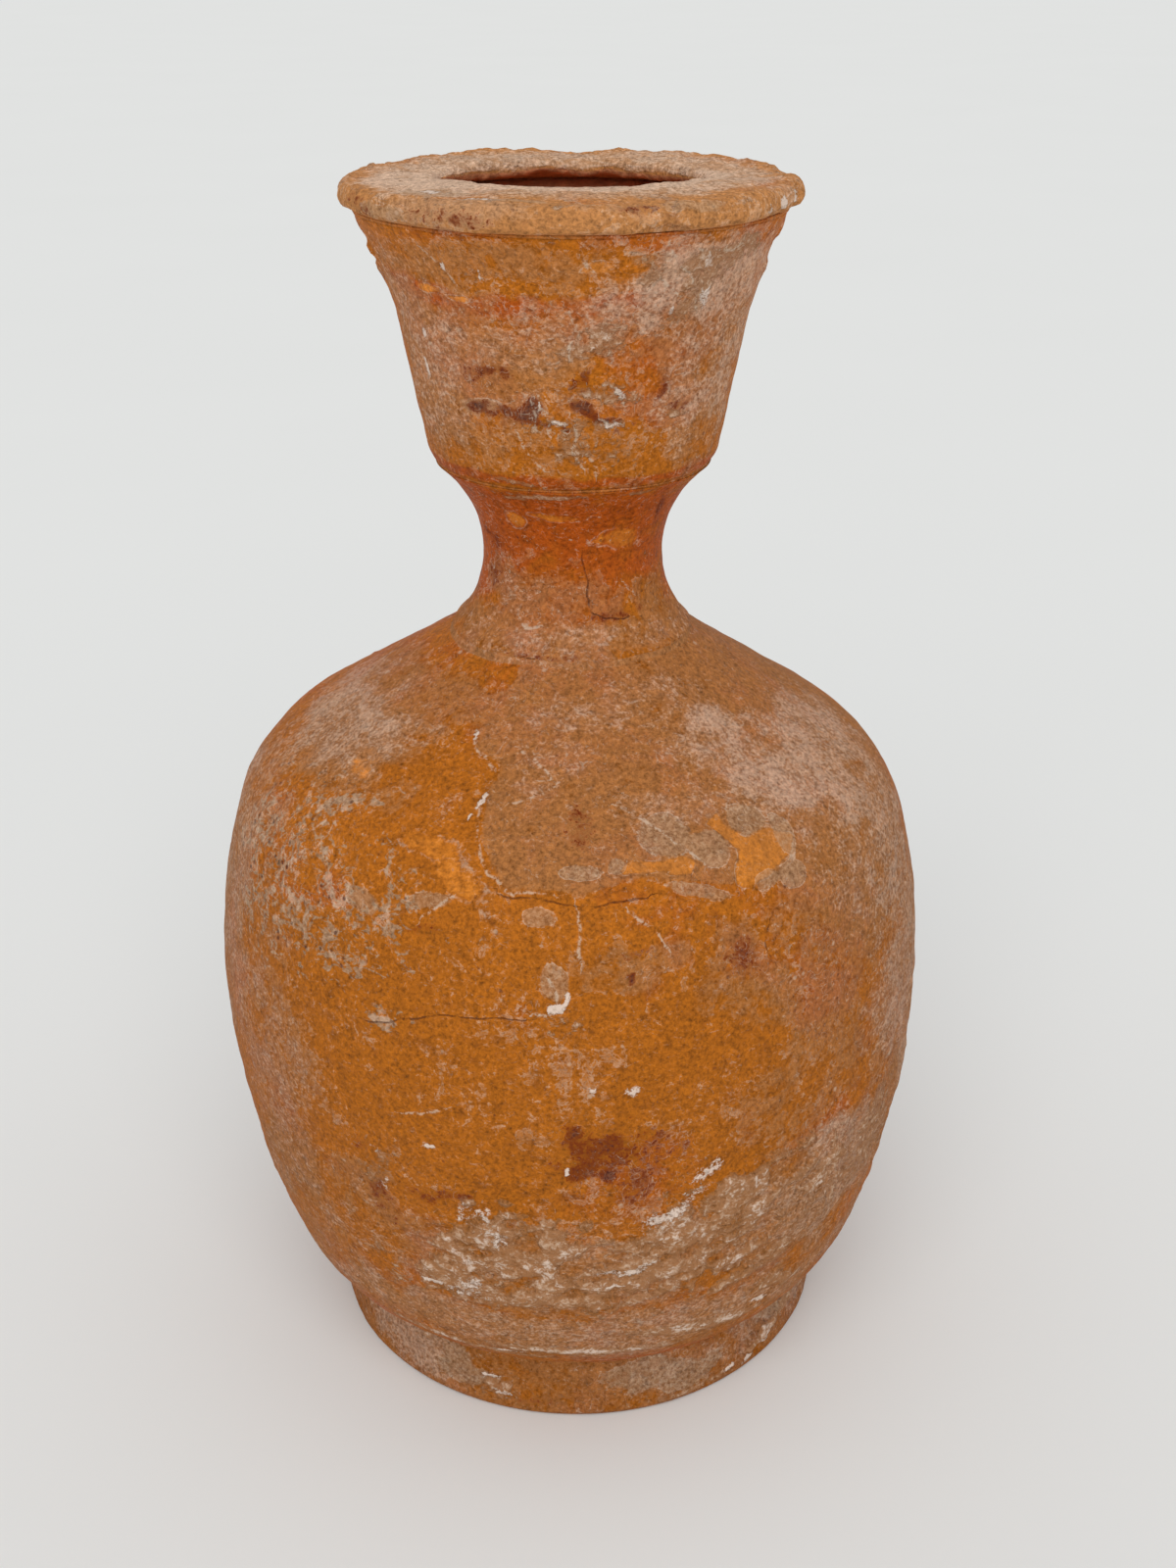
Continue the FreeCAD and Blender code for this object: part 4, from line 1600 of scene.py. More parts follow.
@dataclass
class Foot(Part):
    """The ring foot and the slip in the crease above it."""

    wall: Wall
    top: float = 38.085
    splay: float = 1.9
    bevel: float = 1.1
    width: float = 7.5
    inner_slope: float = 1.2
    seat: float = 35.785
    floor: float = 7.94
    slip: float = 1.5
    grid: float = 0.6
    steps: int = 400
    dents = Grain(37)

    film: Marks = marks(
        (0, 6, 240, 14, 0, 0.64, 0), (-40, 8, 14, 6, 0, 0.85), (58, 7, 14, 6, 0, 0.9),
    )
    dust: Marks = marks(
        (0, 6, 240, 14, 0, 0.46, 0), (-44, 7, 14, 7, 0, 1.05), (24, 6, 16, 5, 0, 0.8),
        (62, 7, 20, 7, 0, 1), (62, 7, 12, 6, 0, 1.2), (-34, 7, 12, 5, 0, 0.78),
    )
    lime: Marks = marks(
        (52, 4, 6, 1.6, 20, 0.72), (-19, 4.9, 2.8, 2.3, 0, 0.7), (28, 1.8, 9, 1, 0, 0.66),
        (64, 7.5, 5, 2.6, 20, 0.75), (-38, 9, 6, 1.6, 0, 0.5), (140, 6, 12, 4, 0, 0.8),
    )
    grey: Marks = marks(
        (16, 6.4, 7, 2.6, 0, 0.8), (27, 5, 6, 2.4, 0, 0.85), (60, 8.2, 9, 3.4, 0, 0.95),
        (-27, 6.5, 4.6, 3.4, 0, 0.8), (-62, 8.5, 7, 3, 0, 0.75),
    )
    pale: Marks = marks(
        (-20.4, 6, 2.2, 0.6, 0, 0.8, 1.6), (-17, 3.4, 2.2, 0.5, 0, 0.85, 1.6),
        (46, 2.4, 3, 0.7, 22, 0.95), (38, 2.2, 1.6, 0.6, 20, 0.85), (58, 9.4, 2, 0.7, 24, 0.9),
        (66, 7.4, 1.2, 1, 24, 0.8),
    )
    stain: Marks = marks(
        (33, 9.5, 4, 1.5, 0, 0.5), (-8, 3, 6, 1, 0, 0.45),
    )
    gold: Marks = marks(
        (0, 7.5, 12, 4, 0, 0.4),
    )

    def outer(self, height: float) -> float:
        """Outer radius of the foot at a height."""
        return self.top + self.splay * (self.wall.foot_top - height) / self.wall.foot_top

    def build(self) -> None:
        """Make the foot and its slip."""
        high = self.wall.foot_top
        rest = self.top + self.splay
        face = Face(((rest, 0.0), (self.top, high)))
        outline = Outline(rest - self.width, 0.0)
        outline.line(rest - self.bevel, 0.0, 1.2)
        outline.bulge(self.outer(self.bevel), self.bevel, -0.22, 0.3)
        outline.line(self.top, high, self.grid)
        outline.line(self.seat, high, 1.2)
        outline.line(self.seat, self.floor, 1.8)
        outline.line(rest - self.width - self.inner_slope, self.floor, 2.0)
        outline.line(rest - self.width, 0.0, 2.0)
        skin = Skin(Bench.turn("foot_clay", outline, self.steps), face)
        self.dress(skin, 0.85)
        self.settle(skin, "foot_ring", "slipped_clay")
        base_radius = self.wall.base[0] + self.wall.base_size * cos(self.wall.base_from)
        outline = Outline(self.outer(high) - 0.3, high - 0.05)
        outline.line(self.outer(high - self.slip) - 0.3, high - self.slip, 0.5)
        outline.line(self.outer(high - self.slip) + 0.15, high - self.slip, 0.5)
        outline.bulge(base_radius + 0.1, high + 0.05, 0.15, 0.4)
        outline.line(self.outer(high) - 0.3, high - 0.05, 0.6)
        skin = Skin(Bench.turn("foot_joint_slip", outline, self.steps), face)
        self.dress(skin, 0.6)
        self.settle(skin, "foot_slip", "joint_slip")

    def dress(self, skin: Skin, strength: float) -> None:
        """Work a ring's surface and mark it.

        Args:
            skin: The ring's vertices.
            strength: Share of the usual relief.
        """
        outer = smooth(0.0, 0.3, skin.outward)
        self.wear(skin, outer, Field.FILM, Field.DUST, Field.LIME, Field.GREY, Field.PALE)
        self.wear(skin, outer, Field.STAIN)
        self.tint(skin, outer)
        amount = Hand.relief(skin, strength) + self.dents.layered(skin.points, 6.0, 3) * 0.22
        standing = smooth(0.2, 1.6, skin.height)
        skin.lift(amount * outer * standing)


@dataclass
class Neck(Part):
    """The neck and the slip round its collar."""

    wall: Wall
    throat: float = 9.0
    waist: float = 13.0
    collar: float = 17.5
    collar_edge: float = 0.9
    collar_bevel: float = 0.8
    waist_rise: float = 11.4
    rise: float = 25.5
    crease: float = 19.6
    spigot: float = 12.4
    lip_inner: float = 15.843
    lip_outer: float = 17.343
    lip_rise: float = 2.0
    thickness: float = 4.0
    slip: float = 1.4
    cup_bottom: float = 141.83
    grid: float = 0.42
    steps: int = 260
    dents = Grain(41)

    film: Marks = marks(
        (0, 119, 60, 5, 0, 0.72, 0.5), (-32, 125, 8, 5, -30, 0.75), (60, 122, 6, 6, 0, 0.7),
        (0, 126, 7, 5, 20, 0.62), (30, 124, 5, 3, 0, 0.6), (180, 128, 18, 10, 0, 0.7),
    )
    dust: Marks = marks(
        (0, 130, 90, 16, 0, 0.3, 0), (0, 118.5, 60, 3.4, 0, 0.66, 0.5), (-40, 124, 9, 6, 0, 0.62),
        (12, 120, 8, 3, 0, 0.8), (-10, 139.5, 14, 2, 0, 0.55),
    )
    red: Marks = marks(
        (0, 133, 60, 9, 0, 1, 0.3), (-30, 138, 14, 6, 0, 1.2), (120, 133, 40, 9, 0, 0.9),
        (-120, 133, 40, 9, 0, 0.9),
    )
    bright: Marks = marks(
        (28, 133.6, 4, 2.2, 10, 0.6), (-33, 136.5, 2.6, 2, 0, 0.6), (-8, 137.5, 5, 1, 0, 0.58),
    )
    lime: Marks = marks(
        (-12, 141, 6, 0.6, 0, 0.74), (30, 141, 3, 0.5, 0, 0.66), (-26, 140.2, 2.4, 0.6, 0, 0.7),
    )
    stain: Marks = marks(
        (-54, 130, 3, 7, 0, 0.52), (24, 122.4, 7, 1, 0, 0.56), (52, 137, 1.6, 3, 0, 0.56),
        (-10, 117.6, 9, 0.5, 0, 0.5),
    )
    cracks: Strokes = strokes(
        2.2,
        ((7.5, 130.7), (9.5, 127.8), (11.3, 123.4), (21, 122.4), (38.3, 121.5)),
        ((47.2, 139), (50, 137), (53, 134.8)),
    )
    scratches: Strokes = strokes(
        2.2,
        ((-34, 122), (-24, 120.6), (-15, 121)), ((36, 126), (42, 124.6)),
    )

    def curve(self, rise: float, out: float) -> float:
        """Size of the hollow arc that leaves the waist upright and ends at a rise and a reach."""
        return (rise**2 + out**2) / (2 * out)

    def build(self) -> None:
        """Make the neck and its slip."""
        low = self.wall.shoulder_height(self.collar)
        waist = low + self.waist_rise
        top = low + self.rise
        bottom = self.wall.shoulder_height(self.spigot, 4.6) - 1.5
        collar_top = low + self.collar_edge + self.collar_bevel
        lower = self.curve(waist - collar_top, self.collar - self.collar_bevel - self.waist)
        upper = self.curve(top - waist, self.crease - self.waist)
        outline = Outline(self.throat, bottom)
        outline.line(self.spigot, bottom, 1.7)
        outline.line(self.spigot, self.wall.shoulder_height(self.spigot) - 0.3, 2.0)
        outline.line(self.collar, low - 0.5, 1.5)
        first = len(outline.points) - 1
        outline.line(self.collar, low + self.collar_edge, self.grid)
        outline.bulge(self.collar - self.collar_bevel, collar_top, -0.12, 0.25)
        angle = math.degrees(math.asin((waist - collar_top) / lower))
        outline.arc((self.waist + lower, waist), lower, 180.0 + angle, 180.0, self.grid)
        angle = math.degrees(math.asin((top - waist) / upper))
        outline.arc((self.waist + upper, waist), upper, 180.0, 180.0 - angle, self.grid)
        face = Face(tuple(outline.points[first:]))
        outline.line(self.lip_outer, top, 1.0)
        outline.line(self.lip_outer, top + self.lip_rise, 1.0)
        outline.line(self.lip_inner, top + self.lip_rise, 1.0)
        inner = upper + self.thickness
        angle = math.degrees(math.asin((top + self.lip_rise - waist) / inner))
        outline.arc((self.waist + upper, waist), inner, 180.0 - angle, 180.0, 1.6)
        outline.line(self.throat, bottom, 3.0)
        skin = Skin(Bench.turn("neck_clay", outline, self.steps), face)
        self.dress(skin)
        self.settle(skin, "neck", "slipped_clay")
        outer = self.collar + self.slip
        outline = Outline(self.collar - 0.3, self.wall.shoulder_height(self.collar) - 0.4)
        outline.line(outer, self.wall.shoulder_height(outer) - 0.25, 0.4)
        outline.bulge(self.collar - 0.1, low + self.collar_edge, 0.18, 0.3)
        outline.line(self.collar - 0.3, low - 0.4, 0.5)
        skin = Skin(Bench.turn("neck_joint_slip", outline, self.steps), face)
        self.dress(skin)
        self.settle(skin, "neck_slip", "joint_slip")

    def dress(self, skin: Skin) -> None:
        """Work the surface and mark it.

        Args:
            skin: The piece's vertices.
        """
        outer = smooth(-0.1, 0.3, skin.outward)
        skin.carry(Field.INSIDE, 1.0 - smooth(-0.5, -0.2, skin.outward))
        self.wear(skin, outer, Field.FILM, Field.DUST, Field.BRIGHT, Field.LIME, Field.STAIN)
        self.tint(skin, outer)
        skin.carry_strokes(self.cracks, Field.CRACK, Field.CRACK_NEAR)
        skin.carry_strokes(self.scratches, Field.SCRATCH, Field.SCRATCH_NEAR)
        top = smooth(0.0, 1.2, self.cup_bottom - skin.height)
        dents = Hand.relief(skin, 0.8) + self.dents.layered(skin.points, 8.0, 2) * 0.12
        skin.lift(dents * outer * top)


@dataclass
class Cup(Part):
    """The mouth cup and the slip layers below and above it."""

    bottom: float = 142.23
    crease: float = 19.6
    step: float = 20.7
    step_rise: float = 2.1
    wall: float = 24.25
    wall_rise: float = 18.8
    lip: float = 29.6
    flare_rise: float = 13.1
    hollow: float = 0.3
    thickness: float = 4.1
    socket: float = 17.443
    inner_low: float = 15.843
    inner_bottom: float = 143.83
    tongue: float = 26.35
    tongue_width: float = 1.6
    tongue_height: float = 1.7
    slip: float = 0.4
    grid: float = 0.5
    steps: int = 340
    pressed = Grain(43)
    knobs = Grain(47)
    hollows = Grain(53)
    bumps: Marks = marks((-80, 174, 5, 3), (-76, 170, 4, 3), (76, 171, 5, 4))

    film: Marks = marks(
        (0, 158, 140, 24, 0, 0.5, 0), (-22, 172.5, 22, 4, 0, 0.64), (30, 164, 14, 10, 0, 0.72),
        (55, 158, 12, 15, 0, 0.74), (-55, 160, 12, 15, 0, 0.74), (-12, 161, 14, 5, 0, 0.72),
        (-26, 156, 9, 5, 0, 0.68), (160, 160, 30, 16, 0, 0.8),
    )
    dust: Marks = marks(
        (0, 158, 140, 24, 0, 0.52, 0), (44, 170, 18, 8, 0, 1.2), (24, 168, 9, 8, -20, 1.1),
        (0, 165, 16, 4, 0, 0.72), (50, 158, 13, 15, 0, 0.8), (-12, 163, 14, 5, 0, 0.76),
        (6, 163, 7, 6, 0, 0.74), (-55, 160, 12, 14, 0, 0.78), (66, 160, 12, 16, 0, 0.92),
        (0, 154.5, 12, 3, 0, 0.66), (-62, 173, 8, 4, 0, 0.7),
    )
    gold: Marks = marks(
        (-30, 171.6, 12, 3.4, 0, 1), (-4, 171.6, 12, 3.6, 0, 0.95), (-20, 148, 12, 3, 0, 0.7),
        (16, 147, 16, 3, 0, 0.9), (-2, 158, 5, 4, 0, 0.6),
    )
    red: Marks = marks(
        (-42, 168.2, 9, 1.6, -4, 1.4), (-20, 167.4, 8, 1.4, 0, 1), (14, 168.2, 8, 1.8, 0, 1.2),
        (30, 160, 12, 7, 0, 0.6), (0, 143.4, 60, 0.8, 0, 1.2),
    )
    bright: Marks = marks(
        (-44, 168.6, 3, 0.8, -6, 0.62), (-33, 168, 2.2, 0.6, 0, 0.6), (8, 172.6, 2.6, 1.2, 0, 0.58),
    )
    grey: Marks = marks(
        (20, 173.6, 5, 1.4, 0, 0.55), (-33, 153.4, 5, 1.6, 0, 0.6),
    )
    lime: Marks = marks(
        (20, 172, 4, 2.2, -40, 0.58), (46, 172.4, 9, 2.6, 14, 0.72, 1.5),
        (38, 167, 7, 2.4, 44, 0.64, 1.5), (10, 155.9, 4.6, 1.2, -14, 0.6, 2),
        (-3, 151.2, 6, 1.2, 0, 0.58, 2), (13, 151.1, 3.4, 0.9, 0, 0.58, 2),
        (6, 147.4, 6, 2.6, 0, 0.46, 2), (38, 152.2, 2, 0.7, 0, 0.6),
        (-22, 143.2, 4.5, 0.5, -10, 0.7), (6, 162, 8, 3, 0, 0.42),
    )
    stain: Marks = marks(
        (-33, 153.5, 2.6, 0.9, 0, 1.15, 2.2), (-30, 152.7, 3, 0.6, -8, 0.86, 2.2),
        (-27, 158.6, 3.2, 0.9, 0, 0.74, 2.2), (-21, 153.2, 1.8, 0.8, 0, 0.9, 2.2),
        (-13, 153.4, 1.7, 2.1, -34, 1.2, 2), (-9.4, 151.4, 2.2, 0.7, -24, 0.96, 2),
        (7, 153.2, 2, 1.2, -24, 1.1, 2.4), (12, 151.8, 1.8, 0.9, -14, 1.1, 2.4),
        (4.6, 157.2, 1.4, 1.2, 0, 0.9, 2.4), (6.4, 156.4, 1.3, 0.8, 0, 0.78, 2),
        (-21, 158.2, 2, 1, 0, 0.62), (-34, 158, 2.4, 1.2, 0, 0.55),
        (31, 156.4, 1.3, 2, -20, 0.78, 2), (40, 153.2, 2.2, 0.8, 14, 0.74, 2),
        (18, 151, 3, 0.8, 24, 0.56), (-2, 151, 1.2, 0.6, 0, 0.8),
    )
    pale: Marks = marks(
        (15, 155.7, 1.4, 0.6, -36, 0.8, 1.6), (-3.6, 151.5, 2.6, 0.6, 0, 0.7, 2),
        (14, 151.3, 1.8, 0.5, 0, 0.8, 1.8), (-10.6, 154.4, 0.3, 1, 20, 0.9, 0.5),
        (-35, 172, 0.5, 0.8, 0, 1), (-24, 171.2, 0.4, 1.2, 10, 0.8), (43, 167, 1, 1.4, 40, 0.62, 2),
        (30, 166, 0.5, 1.2, 0, 0.66, 2), (-56, 157.4, 0.4, 1.6, 14, 1, 0.5),
        (-53, 162, 0.6, 1, 0, 0.8),
    )
    scratches: Strokes = (
        *strokes(
            2.2,
            ((-13.5, 154.6), (-10, 151.4), (-8, 149.8)), ((-18, 149.6), (-15, 146.6), (-11, 145.4)),
            ((4, 177), (3, 174), (7, 172)),
        ),
        *strokes(
            1.6,
            ((-15, 151.8), (-11, 150.6), (-6, 151.2), (-2, 150.4)),
            ((0.5, 152.4), (3, 150), (2.2, 147.4), (4.5, 145.6)),
            ((6, 147.6), (8.5, 146), (9.5, 144.4)), ((8, 156.8), (12, 156.4), (15.5, 154.8)),
            ((11, 152.4), (14, 150.8), (18, 151.6)), ((-12, 156.6), (-10, 154), (-6.5, 153)),
        ),
        *strokes(
            1.8,
            ((24, 176), (30, 172), (36, 170), (40, 166)), ((36, 174), (46, 173), (54, 174.6)),
            ((18, 168), (24, 170.4), (30, 168.2)),
        ),
        *strokes(
            1.6,
            ((-40, 174), (-35, 172.4), (-33, 170.4)), ((-2, 168), (2, 165), (0, 161)),
        ),
    )

    def build(self) -> None:
        """Make the cup and the layers of slip that it sits between."""
        step_top = self.bottom + self.step_rise
        wall_top = step_top + self.wall_rise
        top = wall_top + self.flare_rise
        tongue_out = self.tongue + self.tongue_width
        outline = Outline(self.socket, self.bottom)
        outline.line(self.crease, self.bottom, 1.0)
        first = len(outline.points) - 1
        outline.bulge(self.step, step_top, -0.12, 0.35)
        outline.line(self.wall, wall_top, self.grid)
        outline.bulge(self.lip, top, self.hollow, self.grid)
        face = Face(tuple(outline.points[first:]))
        outline.line(tongue_out, top, 1.0)
        outline.line(tongue_out, top + self.tongue_height, 1.0)
        outline.line(self.tongue, top + self.tongue_height, 1.0)
        outline.line(self.tongue, top, 1.0)
        outline.line(self.lip - self.thickness, top, 1.0)
        outline.line(self.wall - self.thickness, wall_top, 1.2)
        outline.line(self.step - self.thickness + 0.9, self.inner_bottom + 4.5, 1.6)
        outline.line(self.inner_low, self.inner_bottom, 1.4)
        outline.line(self.socket, self.inner_bottom, 1.0)
        outline.line(self.socket, self.bottom, 1.0)
        skin = Skin(Bench.turn("cup_clay", outline, self.steps), face)
        self.dress(skin)
        self.settle(skin, "mouth_cup", "slipped_clay")
        low = (self.socket - 0.1, self.crease - 0.18)
        self.layer("cup_joint_slip", "cup_slip", low, self.bottom)
        high = (tongue_out, self.lip + 0.04)
        self.layer("rim_joint_slip", "rim_slip", high, top + self.slip)

    def layer(self, name: str, node: str, radii: Point, top: float) -> None:
        """Make a flat ring of slip, pressed out unevenly between two parts.

        Args:
            name: The piece's name.
            node: The node that it stands for.
            radii: Its inner and its outer radius.
            top: Height of its upper face.
        """
        inner, outer = radii
        bottom = top - self.slip
        outline = Outline(inner, bottom)
        outline.line(outer, bottom, 0.8)
        outline.bulge(outer, top, -0.06, 0.15)
        outline.line(inner, top, 0.8)
        outline.line(inner, bottom, 0.8)
        skin = Skin(Bench.turn(name, outline, self.steps), Face(((outer, bottom), (outer, top))))
        skin.lift(self.pressed.layered(skin.points, 3.0, 2) * 0.07 * smooth(0.2, 0.8, skin.outward))
        self.settle(skin, node, "joint_slip")

    def dress(self, skin: Skin) -> None:
        """Work the surface and mark it.

        Args:
            skin: The cup's vertices.
        """
        outer = smooth(0.0, 0.3, skin.outward)
        skin.carry(Field.INSIDE, 1.0 - smooth(-0.4, -0.1, skin.outward))
        self.wear(skin, outer, Field.FILM, Field.DUST, Field.BRIGHT, Field.GREY, Field.LIME)
        self.wear(skin, outer, Field.STAIN, Field.PALE)
        self.tint(skin, outer)
        skin.carry_strokes(self.scratches, Field.SCRATCH, Field.SCRATCH_NEAR)
        amount = Hand.relief(skin, 0.9)
        knobs = smooth(-0.2, 0.6, self.knobs.layered(skin.points, 3.2, 2))
        amount += skin.cover(self.bumps) * knobs * 0.5
        inner = smooth(0.2, 0.9, -skin.outward)
        skin.lift(amount * outer + self.hollows.layered(skin.points, 7.0, 3) * 0.2 * inner)


@dataclass
class Rim(Part):
    """The everted rim with its rolled inner edge.

    A place on its flat top is given by a height above the edge that grows inwards.
    """

    bottom: float = 176.63
    height: float = 3.4
    lip: float = 29.6
    overhang: float = 1.3
    fall: float = 1.3
    mouth: float = 25.1
    roll: float = 18.4
    roll_thickness: float = 2.3
    nose: float = 1.1
    tongue: float = 26.25
    tongue_width: float = 1.8
    tongue_height: float = 1.4
    front_rise: float = 0.9
    chip_depth: float = 0.9
    grid: float = 0.42
    steps: int = 460
    swells = Grain(61)
    tooth = Grain(67)
    threads = Grain(71)
    chipping = Grain(73)
    edge_waves = Grain(79)
    rise_waves = Grain(83)
    push_waves = Grain(89)

    chips: Marks = marks(
        (76, 178, 2.4, 2.4), (104, 177.5, 4, 2.5), (62, 177, 3, 1.4), (-38, 179.5, 4, 1.5),
        (22, 176.8, 4.5, 0.8), (158, 179.2, 4, 2), (-142, 177.4, 5, 2), (-97, 177.2, 3, 2),
    )
    lumps: Marks = marks(
        (84, 178.6, 3, 2.6), (-86, 178.6, 4, 2.4), (0, 178, 10, 1.6, 0, 0.6),
        (-26, 178, 7, 1.6, 0, 0.6), (42, 178, 7, 1.8, 0, 0.6), (120, 178.5, 8, 3),
        (-160, 178.2, 9, 3),
    )
    film: Marks = marks(
        (0, 188, 200, 7, 0, 0.85, 0), (0, 178, 200, 6, 0, 0.38, 0), (-28, 179.5, 14, 2.4, 0, 0.7),
    )
    dust: Marks = marks(
        (180, 186, 120, 10, 0, 0.95, 0), (0, 189.5, 60, 5, 0, 1.35, 0.3),
        (-62, 186, 20, 7.5, 0, 1.4), (-30, 183, 12, 2.6, 0, 0.85), (0, 179, 60, 4, 0, 0.3, 0),
        (50, 179, 14, 4, 0, 0.55), (70, 184, 14, 8, 0, 0.7),
    )
    gold: Marks = marks(
        (0, 177.8, 70, 3.2, 0, 0.75, 0.4), (-3, 178.8, 10, 2.4, 0, 1.3), (20, 178, 9, 2, 0, 1),
    )
    grey: Marks = marks(
        (-36, 182.6, 7, 1.8, 0, 0.8, 1.6), (-14, 181, 7, 1.2, 0, 0.7, 1.6),
        (-50, 178.4, 6, 1.2, 0, 0.7, 1.6), (30, 179.4, 7, 1, 0, 0.62, 1.6),
    )
    stain: Marks = marks(
        (-30, 178.4, 9, 1.3, 0, 0.5), (-62, 178.4, 5, 1.6, 0, 0.5), (16, 179.6, 4, 0.8, 0, 0.5),
    )
    pale: Marks = marks(
        (64, 178.6, 1.2, 1.2, 0, 0.85), (78, 178, 1, 1.6, 0, 0.8), (56, 178, 0.8, 1.2, 30, 0.7),
        (-22, 181.4, 3, 0.7, 0, 0.72), (-40, 183, 3, 1, 0, 0.66),
    )

    def shape(self) -> tuple[bpy.types.Object, Face]:
        """Turn the rim with all of its shown faces fine.

        Returns:
            The closed rim and its shown wall.
        """
        top = self.bottom + self.height
        edge = self.lip + self.overhang
        groove = self.bottom + self.tongue_height
        outline = Outline(self.mouth, self.bottom)
        outline.line(self.tongue, self.bottom, 1.2)
        outline.line(self.tongue, groove, 1.4)
        outline.line(self.tongue + self.tongue_width, groove, 1.8)
        outline.line(self.tongue + self.tongue_width, self.bottom, 1.4)
        outline.line(self.lip, self.bottom, 1.0)
        outline.bulge(edge - 0.25, self.bottom + self.height * 0.16, -0.08, self.grid)
        outline.bulge(edge - 0.05, self.bottom + self.height * 0.66, -0.14, self.grid)
        outline.bulge(edge - self.fall, top, -0.30, self.grid)
        inner = self.roll + self.nose
        outline.line(inner, top, self.grid)
        half = self.roll_thickness / 2
        outline.arc((inner, top - half), half, 90.0, 270.0, self.grid * 0.8)
        outline.bulge(self.mouth, self.bottom, 0.25, 0.7)
        flat = edge - self.fall
        face = Face(
            (
                (self.lip, self.bottom),
                (edge, self.bottom + self.height * 0.5),
                (flat, top),
                (inner, top + flat - inner),
            )
        )
        return Bench.turn("rim_clay", outline, self.steps), face

    def build(self) -> None:
        """Make the rim, work its surface and dress it."""
        skin = Skin(*self.shape())
        top = self.bottom + self.height
        flat_radius = self.lip + self.overhang - self.fall
        inwards = np.maximum(flat_radius - skin.radius, 0.0)
        on_top = (skin.radius < flat_radius) & (skin.normals[:, 2] > -0.1)
        skin.height = np.where(on_top, top + inwards, skin.height)
        self.wear(skin, 1.0, Field.FILM, Field.DUST, Field.GREY, Field.STAIN, Field.PALE)
        self.tint(skin, 1.0)
        skin.carry(Field.LIME, 0.30 * smooth(-0.2, 0.5, skin.normals[:, 2]))
        # Down-facing faces of the roll and the mouth's inner faces get the inside's bare clay,
        # painted paler to stand in for light.
        under = smooth(0.0, 0.6, -skin.normals[:, 2]) * smooth(25.0, 24.0, skin.radius)
        skin.carry(Field.INSIDE, under)
        up = skin.points[:, 2]
        joint = (skin.radius > self.mouth - 0.2) & (skin.radius < self.lip - 0.05)
        hidden = joint & (skin.normals[:, 2] < -0.2) | joint & (up < self.bottom + 1.6)
        shown = np.where(hidden, 0.0, smooth(self.bottom - 0.2, self.bottom + 0.7, up))
        shown = np.where(skin.radius < self.mouth - 1.0, 1.0, shown)
        skin.lift(self.relief(skin) * shown)
        skin.shift(self.sway(skin) * shown[:, None])
        self.settle(skin, "rim", "worn_clay")

    def relief(self, skin: Skin) -> np.ndarray:
        """Lumps, chips and the fibrous wear of the top.

        Args:
            skin: The rim's vertices.

        Returns:
            Millimetres along each vertex's normal.
        """
        edge = smooth(24.0, 29.5, skin.radius)
        back = smooth(60.0, 120.0, np.abs(skin.azimuth))
        amount = self.swells.layered(skin.points, 7.0, 3) * (0.16 + 0.10 * edge + 0.12 * back)
        amount += self.tooth.layered(skin.points, 2.2, 3) * (0.07 + 0.06 * back)
        fibres = np.column_stack((skin.azimuth * 0.9, skin.radius * 2.4, skin.points[:, 2]))
        amount += self.threads.layered(fibres, 2.0, 3) * (0.05 + 0.07 * back)
        amount += skin.cover(self.lumps) * 0.40 * edge
        chipped = skin.cover(self.chips) + self.chipping.layered(skin.points, 2.6, 2) * 0.16
        amount -= smooth(0.55, 0.8, chipped) * self.chip_depth * edge
        return amount

    def ring_noise(self, skin: Skin, grain: Grain, size: float) -> np.ndarray:
        """Noise that changes only round the rim.

        Args:
            skin: The rim's vertices.
            grain: The noise.
            size: Width of its swells in millimetres.

        Returns:
            One number for each vertex.
        """
        turn = np.radians(skin.azimuth)
        ring = np.column_stack((np.sin(turn), np.cos(turn), np.zeros_like(turn)))
        return grain.layered(ring * self.mouth, size, 2)

    def sway(self, skin: Skin) -> np.ndarray:
        """Slow rise and fall of the rim, and the waves of its inner edge.

        Args:
            skin: The rim's vertices.

        Returns:
            The way that each vertex moves.
        """
        ways = np.zeros_like(skin.points)
        turn = np.radians(skin.azimuth)
        front = smooth(-0.3, 0.9, np.cos(turn)) * smooth(30.5, 21.0, skin.radius)
        low = skin.points[:, 2] < self.bottom + self.height - self.nose
        ways[:, 2] += front * self.front_rise
        inner = smooth(24.5, 19.0, skin.radius)
        far = smooth(0.2, -0.6, np.cos(turn))
        waves = self.ring_noise(skin, self.edge_waves, 9.0) * inner
        ways[:, 2] += waves * np.where(low, 0.65, 0.08 + 0.16 * far)
        ways[:, 2] += self.ring_noise(skin, self.rise_waves, 14.0) * (0.08 + 0.14 * far)
        unit = np.maximum(skin.radius, 1e-6)
        push = self.ring_noise(skin, self.push_waves, 8.0) * inner * 0.35
        ways[:, 0] += push * skin.points[:, 0] / unit
        ways[:, 1] += push * skin.points[:, 1] / unit
        return ways


